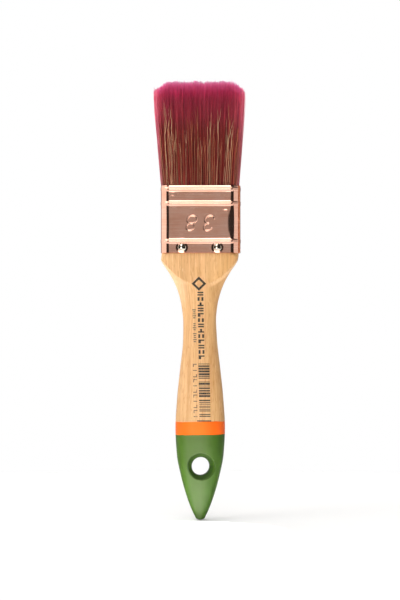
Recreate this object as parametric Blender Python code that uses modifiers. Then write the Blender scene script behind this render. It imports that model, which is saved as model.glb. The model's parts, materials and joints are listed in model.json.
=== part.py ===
"""Flat paint brush, 38 mm (1 1/2 inch) wide, built as its real pieces.

Frame: metres, +Z runs up the brush from the tail of the handle (z = 0) to the bristle tips, +X is across
the width, and the front broad face looks along -Y. The origin is under the middle of the brush.

Pieces: beech handle, copper-plated ferrule, four ferrule nails, resin setting, spacer plug, and two
filament banks. Each bank has a potted root and a free length. The free length turns about FLEX_Z, just
above the ferrule's mouth, which stands for the filaments' bending there.
"""

import math

import bpy
import bmesh
from mathutils import Matrix, Vector

MM = 0.001

# ---------------------------------------------------------------- driving dimensions, in millimetres
TOTAL_LENGTH = 210.7
FERRULE_BOTTOM = 127.8          # lower edge of the ferrule, measured up from the tail
FERRULE_TOP = 160.3             # mouth of the ferrule
FERRULE_WIDTH = 38.1            # nominal brush size, outside the sheet
FERRULE_DEPTH = 14.0
FERRULE_CORNER = 4.3
SHEET = 0.45                    # ferrule sheet thickness
BEAD_HEIGHT = 0.35
BEAD_HALF_WIDTH = 1.25
BEADS_Z = (133.7, 151.7, 158.6)  # centre lines of the three rolled beads
GAP = 0.3                       # clearance between neighbouring pieces

HANDLE_TOP = 139.0              # end of the handle's head, inside the ferrule
HEAD_WIDTH = 36.6
HEAD_DEPTH = 12.5
HOLE_Z = 25.8                   # hanging hole
HOLE_RADIUS = 4.6
HOLE_RIM_RADIUS = 6.2           # where the rounded rim meets the face

NAIL_X = 8.5
NAIL_Z = 130.7
NAIL_HEAD_RADIUS = 1.9
NAIL_HEAD_HEIGHT = 0.85
NAIL_SHANK_RADIUS = 0.8
NAIL_LENGTH = 5.0

SETTING_BOTTOM = 139.4
SETTING_TOP = 146.6
ROOT_BOTTOM = 142.6
PLUG_BOTTOM = 142.6
PLUG_TOP = 156.0
PLUG_WIDTH = 31.0
PLUG_DEPTH = 3.0

FLEX_Z = 161.2                  # axis that the free bristles bend about
KNUCKLE_RADIUS = 6.2            # the potted root ends in this round about the axis
KNUCKLE_CLEARANCE = 0.35
FLEX_LIMIT = 30.0               # degrees each way, which the shapes around the axis leave room for

BRISTLE_MOUTH_WIDTH = 38.2
BRISTLE_MOUTH_DEPTH = 13.4
BRISTLE_WIDTH = 44.0            # widest, near the tips
BRISTLE_BELLY_DEPTH = 14.6
BRISTLE_TIP_DEPTH = 8.6
BRISTLE_TIP_CORNER = 6.0

# Handle stations: height, half width, half depth, squareness of the section (2 is an ellipse).
HANDLE_STATIONS = (
    (1.1, 2.3, 1.9, 2.1),
    (4.6, 4.0, 3.1, 2.1),
    (12.2, 6.8, 4.2, 2.3),
    (21.9, 9.45, 5.1, 2.4),
    (31.5, 11.25, 6.0, 2.4),
    (44.0, 11.9, 6.9, 2.3),
    (58.4, 11.1, 7.1, 2.3),
    (73.8, 9.5, 6.9, 2.3),
    (86.0, 8.2, 6.6, 2.3),
    (95.5, 7.9, 6.4, 2.5),
    (103.0, 8.65, 6.3, 3.0),
    (109.3, 10.2, 6.3, 3.8),
    (116.0, 13.1, 6.3, 4.8),
    (121.8, 16.6, 6.3, 5.6),
    (125.0, 18.45, 6.3, 6.0),
    (127.2, 18.45, 6.25, 6.0),
)


# ---------------------------------------------------------------- helpers
def clear_scene():
    for ob in list(bpy.data.objects):
        bpy.data.objects.remove(ob, do_unlink=True)


def collection(name):
    made = bpy.data.collections.new(name)
    bpy.context.scene.collection.children.link(made)
    return made


def material(name, colour, roughness, metallic=0.0):
    m = bpy.data.materials.new(name)
    m.use_nodes = True
    bsdf = m.node_tree.nodes["Principled BSDF"]
    bsdf.inputs["Base Color"].default_value = (*colour, 1.0)
    bsdf.inputs["Roughness"].default_value = roughness
    bsdf.inputs["Metallic"].default_value = metallic
    m.diffuse_color = (*colour, 1.0)
    return m


def spline(stations, column, z):
    """Smooth (monotone cubic) value of a column of the stations at height z."""
    zs = [s[0] for s in stations]
    vs = [s[column] for s in stations]
    n = len(zs)
    if z <= zs[0]:
        return vs[0]
    if z >= zs[-1]:
        return vs[-1]
    slopes = [(vs[i + 1] - vs[i]) / (zs[i + 1] - zs[i]) for i in range(n - 1)]
    tangents = [slopes[0]]
    for i in range(1, n - 1):
        a, b = slopes[i - 1], slopes[i]
        if a * b <= 0:
            tangents.append(0.0)
        else:
            ha, hb = zs[i] - zs[i - 1], zs[i + 1] - zs[i]
            tangents.append((ha + hb + hb + ha + ha + hb) / 3 / ((ha + 2 * hb) / 3 / a + (2 * ha + hb) / 3 / b) / 2)
    tangents.append(slopes[-1])
    for i in range(n - 1):
        if z <= zs[i + 1]:
            h = zs[i + 1] - zs[i]
            t = (z - zs[i]) / h
            return (
                (2 * t**3 - 3 * t**2 + 1) * vs[i]
                + (t**3 - 2 * t**2 + t) * h * tangents[i]
                + (-2 * t**3 + 3 * t**2) * vs[i + 1]
                + (t**3 - t**2) * h * tangents[i + 1]
            )
    return vs[-1]


def oval(a, b, power, count):
    """Closed superellipse of half sizes a and b, counter-clockwise from +X."""
    ring = []
    for i in range(count):
        t = 2 * math.pi * i / count
        c, s = math.cos(t), math.sin(t)
        ring.append(
            (
                a * math.copysign(abs(c) ** (2 / power), c),
                b * math.copysign(abs(s) ** (2 / power), s),
            )
        )
    return ring


def round_rect(a, b, r, arc):
    """Closed rectangle of half sizes a and b with corners of radius r, arc segments a corner."""
    ring = []
    r = min(r, a - 1e-4, b - 1e-4)
    for cx, cy, start in ((a - r, b - r, 0), (r - a, b - r, 90), (r - a, r - b, 180), (a - r, r - b, 270)):
        for k in range(arc + 1):
            t = math.radians(start + 90 * k / arc)
            ring.append((cx + r * math.cos(t), cy + r * math.sin(t)))
    return ring


def loft(name, rings, cap_low=True, cap_high=True):
    """Mesh object through rings of equal count; each ring is a list of (x, y, z) in millimetres, low to high."""
    bm = bmesh.new()
    rows = [[bm.verts.new((x * MM, y * MM, z * MM)) for x, y, z in ring] for ring in rings]
    n = len(rings[0])
    for low, high in zip(rows, rows[1:]):
        for i in range(n):
            j = (i + 1) % n
            bm.faces.new((low[i], low[j], high[j], high[i]))
    if cap_low:
        bm.faces.new(list(reversed(rows[0])))
    if cap_high:
        bm.faces.new(rows[-1])
    mesh = bpy.data.meshes.new(name)
    bm.to_mesh(mesh)
    bm.free()
    return bpy.data.objects.new(name, mesh)


def at_height(ring, z):
    return [(x, y, z) for x, y in ring]


def turned(name, profile, steps):
    """Object turned about its local Z from (radius, height) points in millimetres, listed top to bottom."""
    mesh = bpy.data.meshes.new(name)
    bm = bmesh.new()
    vs = [bm.verts.new((r * MM, 0.0, z * MM)) for r, z in profile]
    for a, b in zip(vs, vs[1:]):
        bm.edges.new((a, b))
    bm.to_mesh(mesh)
    bm.free()
    ob = bpy.data.objects.new(name, mesh)
    screw = ob.modifiers.new("turn", "SCREW")
    screw.angle = 2 * math.pi
    screw.steps = steps
    screw.render_steps = steps
    screw.use_merge_vertices = True
    screw.merge_threshold = 0.00001
    return ob


def box(name, low, high):
    """Axis-aligned box from a primitive cube, corners in millimetres."""
    bm = bmesh.new()
    bmesh.ops.create_cube(bm, size=1.0)
    size = Vector([(h - l) * MM for l, h in zip(low, high)])
    middle = Vector([(h + l) / 2 * MM for l, h in zip(low, high)])
    bm.transform(Matrix.Translation(middle) @ Matrix.Diagonal((*size, 1.0)))
    mesh = bpy.data.meshes.new(name)
    bm.to_mesh(mesh)
    bm.free()
    return bpy.data.objects.new(name, mesh)


def cylinder_x(name, radius, half_length, z, segments):
    """Cylinder along X through (0, 0, z), millimetres."""
    bm = bmesh.new()
    bmesh.ops.create_cone(
        bm, cap_ends=True, segments=segments, radius1=radius * MM, radius2=radius * MM, depth=2 * half_length * MM
    )
    bm.transform(Matrix.Translation((0, 0, z * MM)) @ Matrix.Rotation(math.pi / 2, 4, "Y"))
    mesh = bpy.data.meshes.new(name)
    bm.to_mesh(mesh)
    bm.free()
    return bpy.data.objects.new(name, mesh)


def cut(ob, cutter, operation="DIFFERENCE"):
    m = ob.modifiers.new(operation.lower() + "_" + cutter.name, "BOOLEAN")
    m.operation = operation
    m.solver = "EXACT"
    m.object = cutter


def smooth(ob, degrees=40):
    ob.data.shade_smooth()
    ob.data.set_sharp_from_angle(angle=math.radians(degrees))


def build():
    clear_scene()
    parts = collection("flat_paint_brush")
    cutters = collection("cutters")

    def add(ob, mat, parent=None):
        parts.objects.link(ob)
        ob.data.materials.append(mat)
        if parent:
            ob.parent = parent
        return ob

    def tool(ob):
        cutters.objects.link(ob)
        ob.hide_render = True
        ob.display_type = "WIRE"
        return ob

    beech = material("beech", (0.72, 0.47, 0.24), 0.45)
    copper = material("copper_plate", (0.83, 0.50, 0.38), 0.25, 1.0)
    steel = material("nail_steel", (0.80, 0.78, 0.74), 0.2, 1.0)
    resin = material("resin", (0.55, 0.42, 0.20), 0.35)
    card = material("plug_wood", (0.62, 0.45, 0.27), 0.8)
    hair = material("filament", (0.30, 0.03, 0.06), 0.5)
    hair_root = material("filament_root", (0.22, 0.05, 0.05), 0.6)

    # ------------------------------------------------------------ handle
    count = 40
    rings = []
    tail = HANDLE_STATIONS[0]
    for share in (0.15, 0.5, 0.8):           # the rounded end of the tail
        drop = 1 - math.sqrt(1 - share**2)
        rings.append(at_height(oval(tail[1] * share, tail[2] * share, 2.0, count), tail[0] * drop))
    heights = [tail[0] + (HANDLE_STATIONS[-1][0] - tail[0]) * i / 32 for i in range(33)]
    for z in heights:
        rings.append(at_height(
            oval(spline(HANDLE_STATIONS, 1, z), spline(HANDLE_STATIONS, 2, z), spline(HANDLE_STATIONS, 3, z), count), z))
    for z, narrower in ((FERRULE_BOTTOM + 0.4, 0.0), (HANDLE_TOP - 0.8, 0.0), (HANDLE_TOP, 0.8)):
        rings.append(at_height(oval(HEAD_WIDTH / 2 - narrower, HEAD_DEPTH / 2 - narrower, 6.0, count), z))
    handle = add(loft("handle", rings), beech)
    smooth(handle, 35)
    flare = HOLE_RIM_RADIUS - HOLE_RADIUS
    face = 5.15
    profile = [(0.0, 9.0), (HOLE_RIM_RADIUS + 1.2, 9.0), (HOLE_RIM_RADIUS + 0.6, face + 0.5)]
    for k in range(5):                        # quarter round from the face down into the bore
        t = math.radians(90 * k / 4)
        profile.append((HOLE_RADIUS + flare * (1 - math.sin(t)), face - flare * (1 - math.cos(t))))
    profile += [(r, -z) for r, z in reversed(profile)]
    hole = tool(turned("hanging_hole", profile, 40))
    hole.rotation_euler = (math.pi / 2, 0, 0)
    hole.location = (0, 0, HOLE_Z * MM)
    cut(handle, hole)

    # ------------------------------------------------------------ nails and their holes
    head = [(NAIL_HEAD_RADIUS * math.sin(math.radians(a)), NAIL_HEAD_HEIGHT * math.cos(math.radians(a)))
            for a in (0, 22, 45, 66, 84)]
    head[0] = (0.0, NAIL_HEAD_HEIGHT)
    shank = [(NAIL_HEAD_RADIUS, 0.0), (NAIL_SHANK_RADIUS, 0.0), (NAIL_SHANK_RADIUS, 1.2 - NAIL_LENGTH), (0.0, -NAIL_LENGTH)]
    for side, facing in (("front", -1), ("back", 1)):
        for hand, x in (("left", -NAIL_X), ("right", NAIL_X)):
            place = Vector((x * MM, facing * (FERRULE_DEPTH / 2 + GAP) * MM, NAIL_Z * MM))
            turn = (-facing * math.pi / 2, 0, 0)
            nail = add(turned("nail_%s_%s" % (side, hand), head + shank, 16), steel)
            nail.location, nail.rotation_euler = place, turn
            smooth(nail)
            pilot = tool(turned("pilot_%s_%s" % (side, hand),
                                [(0.0, 2.0), (NAIL_SHANK_RADIUS + GAP, 2.0), (NAIL_SHANK_RADIUS + GAP, -NAIL_LENGTH - GAP),
                                 (0.0, -NAIL_LENGTH - GAP - 0.4)], 12))
            pilot.location, pilot.rotation_euler = place, turn
            cut(handle, pilot)

    # ------------------------------------------------------------ ferrule: open lofted sheet, made solid inwards
    zs = {FERRULE_BOTTOM, FERRULE_TOP}
    for c in BEADS_Z:
        zs |= {c - BEAD_HALF_WIDTH, c - BEAD_HALF_WIDTH / 2, c, c + BEAD_HALF_WIDTH / 2, c + BEAD_HALF_WIDTH}
    rings = []
    for z in sorted(zs):
        near = min(abs(z - c) for c in BEADS_Z)
        lift = BEAD_HEIGHT * max(0.0, math.cos(math.pi / 2 * min(1.0, near / BEAD_HALF_WIDTH)))
        rings.append(at_height(
            round_rect(FERRULE_WIDTH / 2 + lift, FERRULE_DEPTH / 2 + lift, FERRULE_CORNER + lift, 6), z))
    ferrule = add(loft("ferrule", rings, cap_low=False, cap_high=False), copper)
    solid = ferrule.modifiers.new("sheet", "SOLIDIFY")
    solid.thickness = SHEET * MM
    solid.offset = -1.0
    solid.use_rim = True
    for side, facing in (("front", -1), ("back", 1)):
        for hand in ("left", "right"):
            cut(ferrule, bpy.data.objects["pilot_%s_%s" % (side, hand)])
    smooth(ferrule)

    inner_w = FERRULE_WIDTH / 2 - SHEET - GAP
    inner_d = FERRULE_DEPTH / 2 - SHEET - GAP
    inner_r = FERRULE_CORNER - SHEET - GAP

    # ------------------------------------------------------------ resin setting with pockets for the banks and the plug
    setting = add(loft("epoxy_setting", [
        at_height(round_rect(inner_w, inner_d, inner_r, 5), SETTING_BOTTOM),
        at_height(round_rect(inner_w, inner_d, inner_r, 5), SETTING_TOP)]), resin)
    wall = 1.0
    pocket = tool(loft("root_pocket", [
        at_height(round_rect(inner_w - wall, inner_d - wall, inner_r - wall, 5), ROOT_BOTTOM - GAP),
        at_height(round_rect(inner_w - wall, inner_d - wall, inner_r - wall, 5), SETTING_TOP + 1)]))
    cut(setting, pocket)

    # ------------------------------------------------------------ spacer plug
    plug = add(box("spacer_plug", (-PLUG_WIDTH / 2, -PLUG_DEPTH / 2, PLUG_BOTTOM), (PLUG_WIDTH / 2, PLUG_DEPTH / 2, PLUG_TOP)), card)
    bevel = plug.modifiers.new("eased", "BEVEL")
    bevel.width = 0.4 * MM
    bevel.segments = 2
    plug_room = tool(box("plug_room", (-PLUG_WIDTH / 2 - GAP, -PLUG_DEPTH / 2 - GAP, PLUG_BOTTOM - 2),
                         (PLUG_WIDTH / 2 + GAP, PLUG_DEPTH / 2 + GAP, PLUG_TOP + GAP)))

    # ------------------------------------------------------------ filament banks
    # Potted roots fill the ferrule and end in a round about the flex axis; the free lengths sit over that round.
    knuckle = tool(cylinder_x("knuckle", KNUCKLE_RADIUS, 40, FLEX_Z, 72))
    knuckle_room = tool(cylinder_x("knuckle_room", KNUCKLE_RADIUS + KNUCKLE_CLEARANCE, 40, FLEX_Z, 72))
    full = 30.0
    for side, facing in (("front", -1), ("back", 1)):
        # half of the ferrule's inside, from the potted butts to the round
        rows = []
        foot_w, foot_d = inner_w - wall - GAP, inner_d - wall - GAP
        for z, w, d in (
            (ROOT_BOTTOM, foot_w, foot_d),
            (SETTING_TOP, foot_w, foot_d),
            (SETTING_TOP + 1.6, inner_w, min(inner_d, KNUCKLE_RADIUS - 0.05)),
            (FLEX_Z, inner_w, min(inner_d, KNUCKLE_RADIUS - 0.05)),
            (FLEX_Z + KNUCKLE_RADIUS + 2, inner_w, min(inner_d, KNUCKLE_RADIUS - 0.05)),
        ):
            rows.append(at_height(round_rect(w, d, 3.2 if d > 5.5 else 2.4, 5), z))
        root = add(loft("bristle_root_" + side, rows), hair_root)
        half = tool(box("half_" + side, (-full, GAP / 2 if facing > 0 else -full, 100), (full, full if facing > 0 else -GAP / 2, 230)))
        cut(root, half, "INTERSECT")
        keep = tool(loft("root_keep_" + side, round_top_rings(full)))
        cut(root, keep, "INTERSECT")
        cut(root, plug_room)
        smooth(root, 30)

        # free length, from just over the round to the tips
        low = FLEX_Z + 1.2
        rows = []
        steps = 12
        for i in range(steps + 1):
            s = i / steps
            z = low + (TOTAL_LENGTH - BRISTLE_TIP_CORNER - low) * s
            w, d = bristle_half_size(z)
            rows.append(at_height(round_rect(w, d, 3.0 + 0.6 * s, 5), z))
        for k in range(1, 6):                 # rounded tips
            t = math.radians(90 * k / 5)
            w, d = bristle_half_size(TOTAL_LENGTH - BRISTLE_TIP_CORNER)
            inset = BRISTLE_TIP_CORNER * (1 - math.cos(t))
            z = TOTAL_LENGTH - BRISTLE_TIP_CORNER * (1 - math.sin(t))
            rows.append(at_height(round_rect(w - inset * 0.85, d - inset * 0.35, max(0.8, 3.6 - inset * 0.4), 5), z))
        free = loft("bristle_" + side, rows)
        add(free, hair)
        cut(free, half, "INTERSECT")
        cut(free, knuckle_room)
        notch = tool(loft("notch_" + side, notch_rings(full)))
        cut(free, notch)
        smooth(free, 30)

    # The moving banks hang on an empty on their bending axis.
    axis = bpy.data.objects.new("flex_axis", None)
    parts.objects.link(axis)
    axis.location = (0, 0, FLEX_Z * MM)
    bpy.context.view_layer.update()
    for side in ("front", "back"):
        ob = bpy.data.objects["bristle_" + side]
        ob.parent = axis
        ob.matrix_parent_inverse = axis.matrix_world.inverted()


def bristle_half_size(z):
    """Half width and half depth of the filament pack at a height: it fans out in width, swells, then thins to the tips."""
    s = (z - FERRULE_TOP) / (TOTAL_LENGTH - FERRULE_TOP)
    s = min(1.0, max(0.0, s))
    w = BRISTLE_MOUTH_WIDTH / 2 + (BRISTLE_WIDTH - BRISTLE_MOUTH_WIDTH) / 2 * math.sin(math.pi / 2 * min(1.0, s / 0.85))
    if s < 0.35:
        d = BRISTLE_MOUTH_DEPTH + (BRISTLE_BELLY_DEPTH - BRISTLE_MOUTH_DEPTH) * math.sin(math.pi / 2 * s / 0.35)
    else:
        t = (s - 0.35) / 0.65
        d = BRISTLE_BELLY_DEPTH + (BRISTLE_TIP_DEPTH - BRISTLE_BELLY_DEPTH) * t * t * (3 - 2 * t)
    return w, d / 2


def round_top_rings(half_x):
    """Prism along X whose section is everything under the root's round: straight sides, then the half circle."""
    section = [(KNUCKLE_RADIUS, 100.0)]
    for k in range(25):
        t = math.pi * k / 24
        section.append((KNUCKLE_RADIUS * math.cos(t), FLEX_Z + KNUCKLE_RADIUS * math.sin(t)))
    section.append((-KNUCKLE_RADIUS, 100.0))
    return [[(-half_x, y, z) for y, z in section], [(half_x, y, z) for y, z in section]]


def notch_rings(half_x):
    """Prism along X, the wedges beside the round that the banks swing through: everything under a V whose arms
    climb at the flex limit from the axis."""
    reach = 20.0
    rise = reach * math.tan(math.radians(FLEX_LIMIT + 1.0))
    section = [(-reach, FLEX_Z + rise), (-reach, FLEX_Z - 20), (reach, FLEX_Z - 20), (reach, FLEX_Z + rise), (0.0, FLEX_Z)]
    return [[(-half_x, y, z) for y, z in section], [(half_x, y, z) for y, z in section]]


build()
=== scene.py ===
"""Looks of the flat paint brush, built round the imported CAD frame. Metres, +Z up, front face towards -Y."""
import json
import math

import bmesh
import bpy
import numpy as np
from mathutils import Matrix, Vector


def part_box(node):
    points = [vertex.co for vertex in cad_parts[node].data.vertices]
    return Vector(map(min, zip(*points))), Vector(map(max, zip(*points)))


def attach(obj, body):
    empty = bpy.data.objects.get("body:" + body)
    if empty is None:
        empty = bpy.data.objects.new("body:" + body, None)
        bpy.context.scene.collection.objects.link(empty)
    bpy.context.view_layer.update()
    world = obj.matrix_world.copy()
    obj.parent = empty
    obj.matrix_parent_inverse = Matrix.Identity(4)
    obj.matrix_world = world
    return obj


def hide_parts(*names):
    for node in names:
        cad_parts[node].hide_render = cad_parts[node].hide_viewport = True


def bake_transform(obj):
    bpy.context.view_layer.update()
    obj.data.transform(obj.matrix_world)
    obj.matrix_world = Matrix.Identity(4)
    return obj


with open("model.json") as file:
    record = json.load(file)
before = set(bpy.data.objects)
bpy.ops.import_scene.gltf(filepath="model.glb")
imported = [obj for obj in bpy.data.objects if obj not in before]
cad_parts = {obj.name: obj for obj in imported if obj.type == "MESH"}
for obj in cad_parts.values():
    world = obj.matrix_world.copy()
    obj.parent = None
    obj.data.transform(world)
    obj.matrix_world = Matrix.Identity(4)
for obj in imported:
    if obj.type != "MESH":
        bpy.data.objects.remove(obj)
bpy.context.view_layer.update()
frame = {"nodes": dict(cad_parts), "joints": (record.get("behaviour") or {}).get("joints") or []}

MM = 0.001
rng = np.random.default_rng(381)

# ------------------------------------------------------------------ sizes read from the frame, in millimetres
f_lo, f_hi = (np.array(c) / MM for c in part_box("ferrule"))
h_lo, h_hi = (np.array(c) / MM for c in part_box("handle"))
b_lo, b_hi = (np.array(c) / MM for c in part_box("bristle_front"))
FERRULE_BOTTOM, FERRULE_TOP = float(f_lo[2]), float(f_hi[2])
TIPS = float(b_hi[2])
JOINT = frame["joints"][0]
FLEX_Z = JOINT["pos_m"][2] / MM
SHEET = 0.45
FERRULE_HALF_D = 7.0
HOLE_Z, HOLE_R, HOLE_RIM = 25.8, 4.6, 6.25


# ------------------------------------------------------------------ helpers
def link(ob):
    bpy.context.scene.collection.objects.link(ob)
    return ob


def mesh_object(name, verts_mm, faces, smooth=True):
    me = bpy.data.meshes.new(name)
    me.from_pydata((np.asarray(verts_mm, float) * MM).tolist(), [], faces)
    me.validate()
    if smooth:
        me.shade_smooth()
    return link(bpy.data.objects.new(name, me))


def quads_object(name, verts_mm, quads, tris=None, smooth=True):
    """Mesh from numpy arrays, fast."""
    verts = np.asarray(verts_mm, np.float32) * MM
    quads = np.asarray(quads, np.int32).reshape(-1, 4)
    tris = np.zeros((0, 3), np.int32) if tris is None else np.asarray(tris, np.int32).reshape(-1, 3)
    me = bpy.data.meshes.new(name)
    me.vertices.add(len(verts))
    me.vertices.foreach_set("co", verts.ravel())
    loops = np.concatenate([quads.ravel(), tris.ravel()])
    me.loops.add(len(loops))
    me.loops.foreach_set("vertex_index", loops)
    n = len(quads) + len(tris)
    me.polygons.add(n)
    starts = np.concatenate([np.arange(len(quads)) * 4, len(quads) * 4 + np.arange(len(tris)) * 3])
    me.polygons.foreach_set("loop_start", starts.astype(np.int32))
    me.update(calc_edges=True)
    me.validate()
    if smooth:
        me.shade_smooth()
    return link(bpy.data.objects.new(name, me))


def smoothstep(a, b, x):
    t = np.clip((np.asarray(x, float) - a) / (b - a), 0, 1)
    return t * t * (3 - 2 * t)


def wobble(x, seed, octaves=((1.0, 1.0),)):
    """Smooth repeatable noise of x, about -1 to 1: sums of sines of unlike pitch."""
    r = np.random.default_rng(seed)
    total, weight = 0.0, 0.0
    for pitch, amount in octaves:
        for k in (1.0, 1.618, 2.414):
            total = total + amount * np.sin(np.asarray(x, float) * pitch * k + r.uniform(0, 2 * math.pi)) / k
            weight += amount / k
    return total / weight


# ------------------------------------------------------------------ material node helpers
class Nodes:
    def __init__(self, name):
        self.mat = bpy.data.materials.new(name)
        self.mat.use_nodes = True
        self.nt = self.mat.node_tree
        self.bsdf = self.nt.nodes["Principled BSDF"]
        self.coord = self.nt.nodes.new("ShaderNodeTexCoord")

    def new(self, kind, **props):
        n = self.nt.nodes.new(kind)
        for k, v in props.items():
            setattr(n, k, v)
        return n

    def wire(self, a, b):
        self.nt.links.new(a, b)

    def put(self, socket, value):
        if hasattr(value, "links"):
            self.wire(value, socket)
        else:
            socket.default_value = value

    def mapped(self, scale, offset=(0, 0, 0), rotation=(0, 0, 0), source=None):
        m = self.new("ShaderNodeMapping")
        self.wire(source or self.coord.outputs["Object"], m.inputs["Vector"])
        m.inputs["Scale"].default_value = scale
        m.inputs["Location"].default_value = offset
        m.inputs["Rotation"].default_value = rotation
        return m.outputs["Vector"]

    def noise(self, vector, detail=3.0, roughness=0.55, distortion=0.0, scale=1.0):
        n = self.new("ShaderNodeTexNoise")
        self.wire(vector, n.inputs["Vector"])
        n.inputs["Scale"].default_value = scale
        n.inputs["Detail"].default_value = detail
        n.inputs["Roughness"].default_value = roughness
        n.inputs["Distortion"].default_value = distortion
        return n.outputs["Fac"]

    def ramp(self, fac, stops):
        n = self.new("ShaderNodeValToRGB")
        self.wire(fac, n.inputs["Fac"])
        cr = n.color_ramp
        while len(cr.elements) < len(stops):
            cr.elements.new(0.5)
        for e, (p, c) in zip(cr.elements, stops):
            e.position = p
            e.color = (*c, 1) if len(c) == 3 else c
        return n.outputs["Color"]

    def span(self, value, a, b, c=0.0, d=1.0, smooth=False):
        n = self.new("ShaderNodeMapRange")
        if smooth:
            n.interpolation_type = "SMOOTHSTEP"
        self.wire(value, n.inputs["Value"])
        for k, v in zip(("From Min", "From Max", "To Min", "To Max"), (a, b, c, d)):
            n.inputs[k].default_value = v
        return n.outputs["Result"]

    def math(self, op, a, b=0.0, c=0.0, clamp=False):
        n = self.new("ShaderNodeMath", operation=op, use_clamp=clamp)
        for i, v in enumerate((a, b, c)):
            self.put(n.inputs[i], v)
        return n.outputs[0]

    def mix(self, fac, a, b, blend="MIX"):
        n = self.new("ShaderNodeMix", data_type="RGBA", blend_type=blend)
        self.put(n.inputs[0], fac)
        for i, v in ((6, a), (7, b)):
            if hasattr(v, "links"):
                self.wire(v, n.inputs[i])
            else:
                n.inputs[i].default_value = (*v, 1) if len(v) == 3 else v
        return n.outputs[2]

    def bump(self, height, distance, strength=1.0, normal=None):
        n = self.new("ShaderNodeBump")
        self.wire(height, n.inputs["Height"])
        n.inputs["Distance"].default_value = distance
        n.inputs["Strength"].default_value = strength
        if normal is not None:
            self.wire(normal, n.inputs["Normal"])
        return n.outputs["Normal"]

    def xyz(self, source=None):
        s = self.new("ShaderNodeSeparateXYZ")
        self.wire(source or self.coord.outputs["Object"], s.inputs[0])
        return s.outputs

    def set(self, **values):
        for k, v in values.items():
            self.put(self.bsdf.inputs[k.replace("_", " ")], v)
        return self.mat


# ------------------------------------------------------------------ the handle's shape
# height, half width, half depth, squareness of the section, height of the crown that the flat face cuts off
STATIONS = np.array((
    (1.1, 2.3, 1.9, 2.3, 1.9), (4.6, 4.0, 3.1, 2.6, 3.1), (12.2, 6.8, 4.2, 2.8, 4.2), (21.9, 9.45, 5.1, 2.8, 5.1),
    (31.5, 11.25, 6.0, 2.7, 6.0), (44.0, 11.9, 6.9, 2.4, 6.9), (58.4, 11.1, 7.1, 2.3, 7.1), (73.8, 9.5, 6.9, 2.3, 6.9),
    (86.0, 8.2, 6.6, 2.3, 6.6), (95.5, 7.9, 6.4, 2.4, 6.4), (103.0, 8.65, 6.3, 2.4, 6.3), (109.3, 10.2, 6.3, 2.4, 6.3),
    (112.6, 11.45, 6.3, 2.4, 6.32), (114.8, 12.45, 6.3, 2.4, 7.0), (117.3, 13.85, 6.3, 2.4, 8.9), (120.0, 15.5, 6.3, 2.5, 11.0),
    (123.0, 17.55, 6.3, 2.9, 13.0), (125.0, 18.45, 6.3, 3.8, 10.0), (127.2, 18.45, 6.25, 6.0, 6.6)))


def curve_through(xs, ys):
    """Monotone cubic through the stations, as a vectorised function."""
    xs, ys = np.asarray(xs, float), np.asarray(ys, float)
    h = np.diff(xs)
    s = np.diff(ys) / h
    t = np.zeros(len(xs))
    t[0], t[-1] = s[0], s[-1]
    for i in range(1, len(xs) - 1):
        if s[i - 1] * s[i] > 0:
            w1, w2 = 2 * h[i] + h[i - 1], h[i] + 2 * h[i - 1]
            t[i] = (w1 + w2) / (w1 / s[i - 1] + w2 / s[i])

    def f(x):
        x = np.clip(np.asarray(x, float), xs[0], xs[-1])
        i = np.clip(np.searchsorted(xs, x, side="right") - 1, 0, len(h) - 1)
        u = (x - xs[i]) / h[i]
        return ((2 * u**3 - 3 * u**2 + 1) * ys[i] + (u**3 - 2 * u**2 + u) * h[i] * t[i]
                + (3 * u**2 - 2 * u**3) * ys[i + 1] + (u**3 - u**2) * h[i] * t[i + 1])
    return f


half_w = curve_through(STATIONS[:, 0], STATIONS[:, 1])
half_d = curve_through(STATIONS[:, 0], STATIONS[:, 2])
power = curve_through(STATIONS[:, 0], STATIONS[:, 3])
crown = curve_through(STATIONS[:, 0], STATIONS[:, 4])


def sway(z):
    """How far the neck and the shoulders stand off the middle line."""
    return -0.38 * smoothstep(80, 103, z) * (1 - smoothstep(124, 127.6, z))


def front_y(x, z):
    """Depth of the handle's front surface at x and z, in millimetres (negative)."""
    q = np.clip(1 - np.abs((np.asarray(x, float) - sway(z)) / half_w(z)) ** power(z), 0, 1)
    return -np.minimum(half_d(z), crown(z) * q ** (1 / power(z)))


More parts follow.
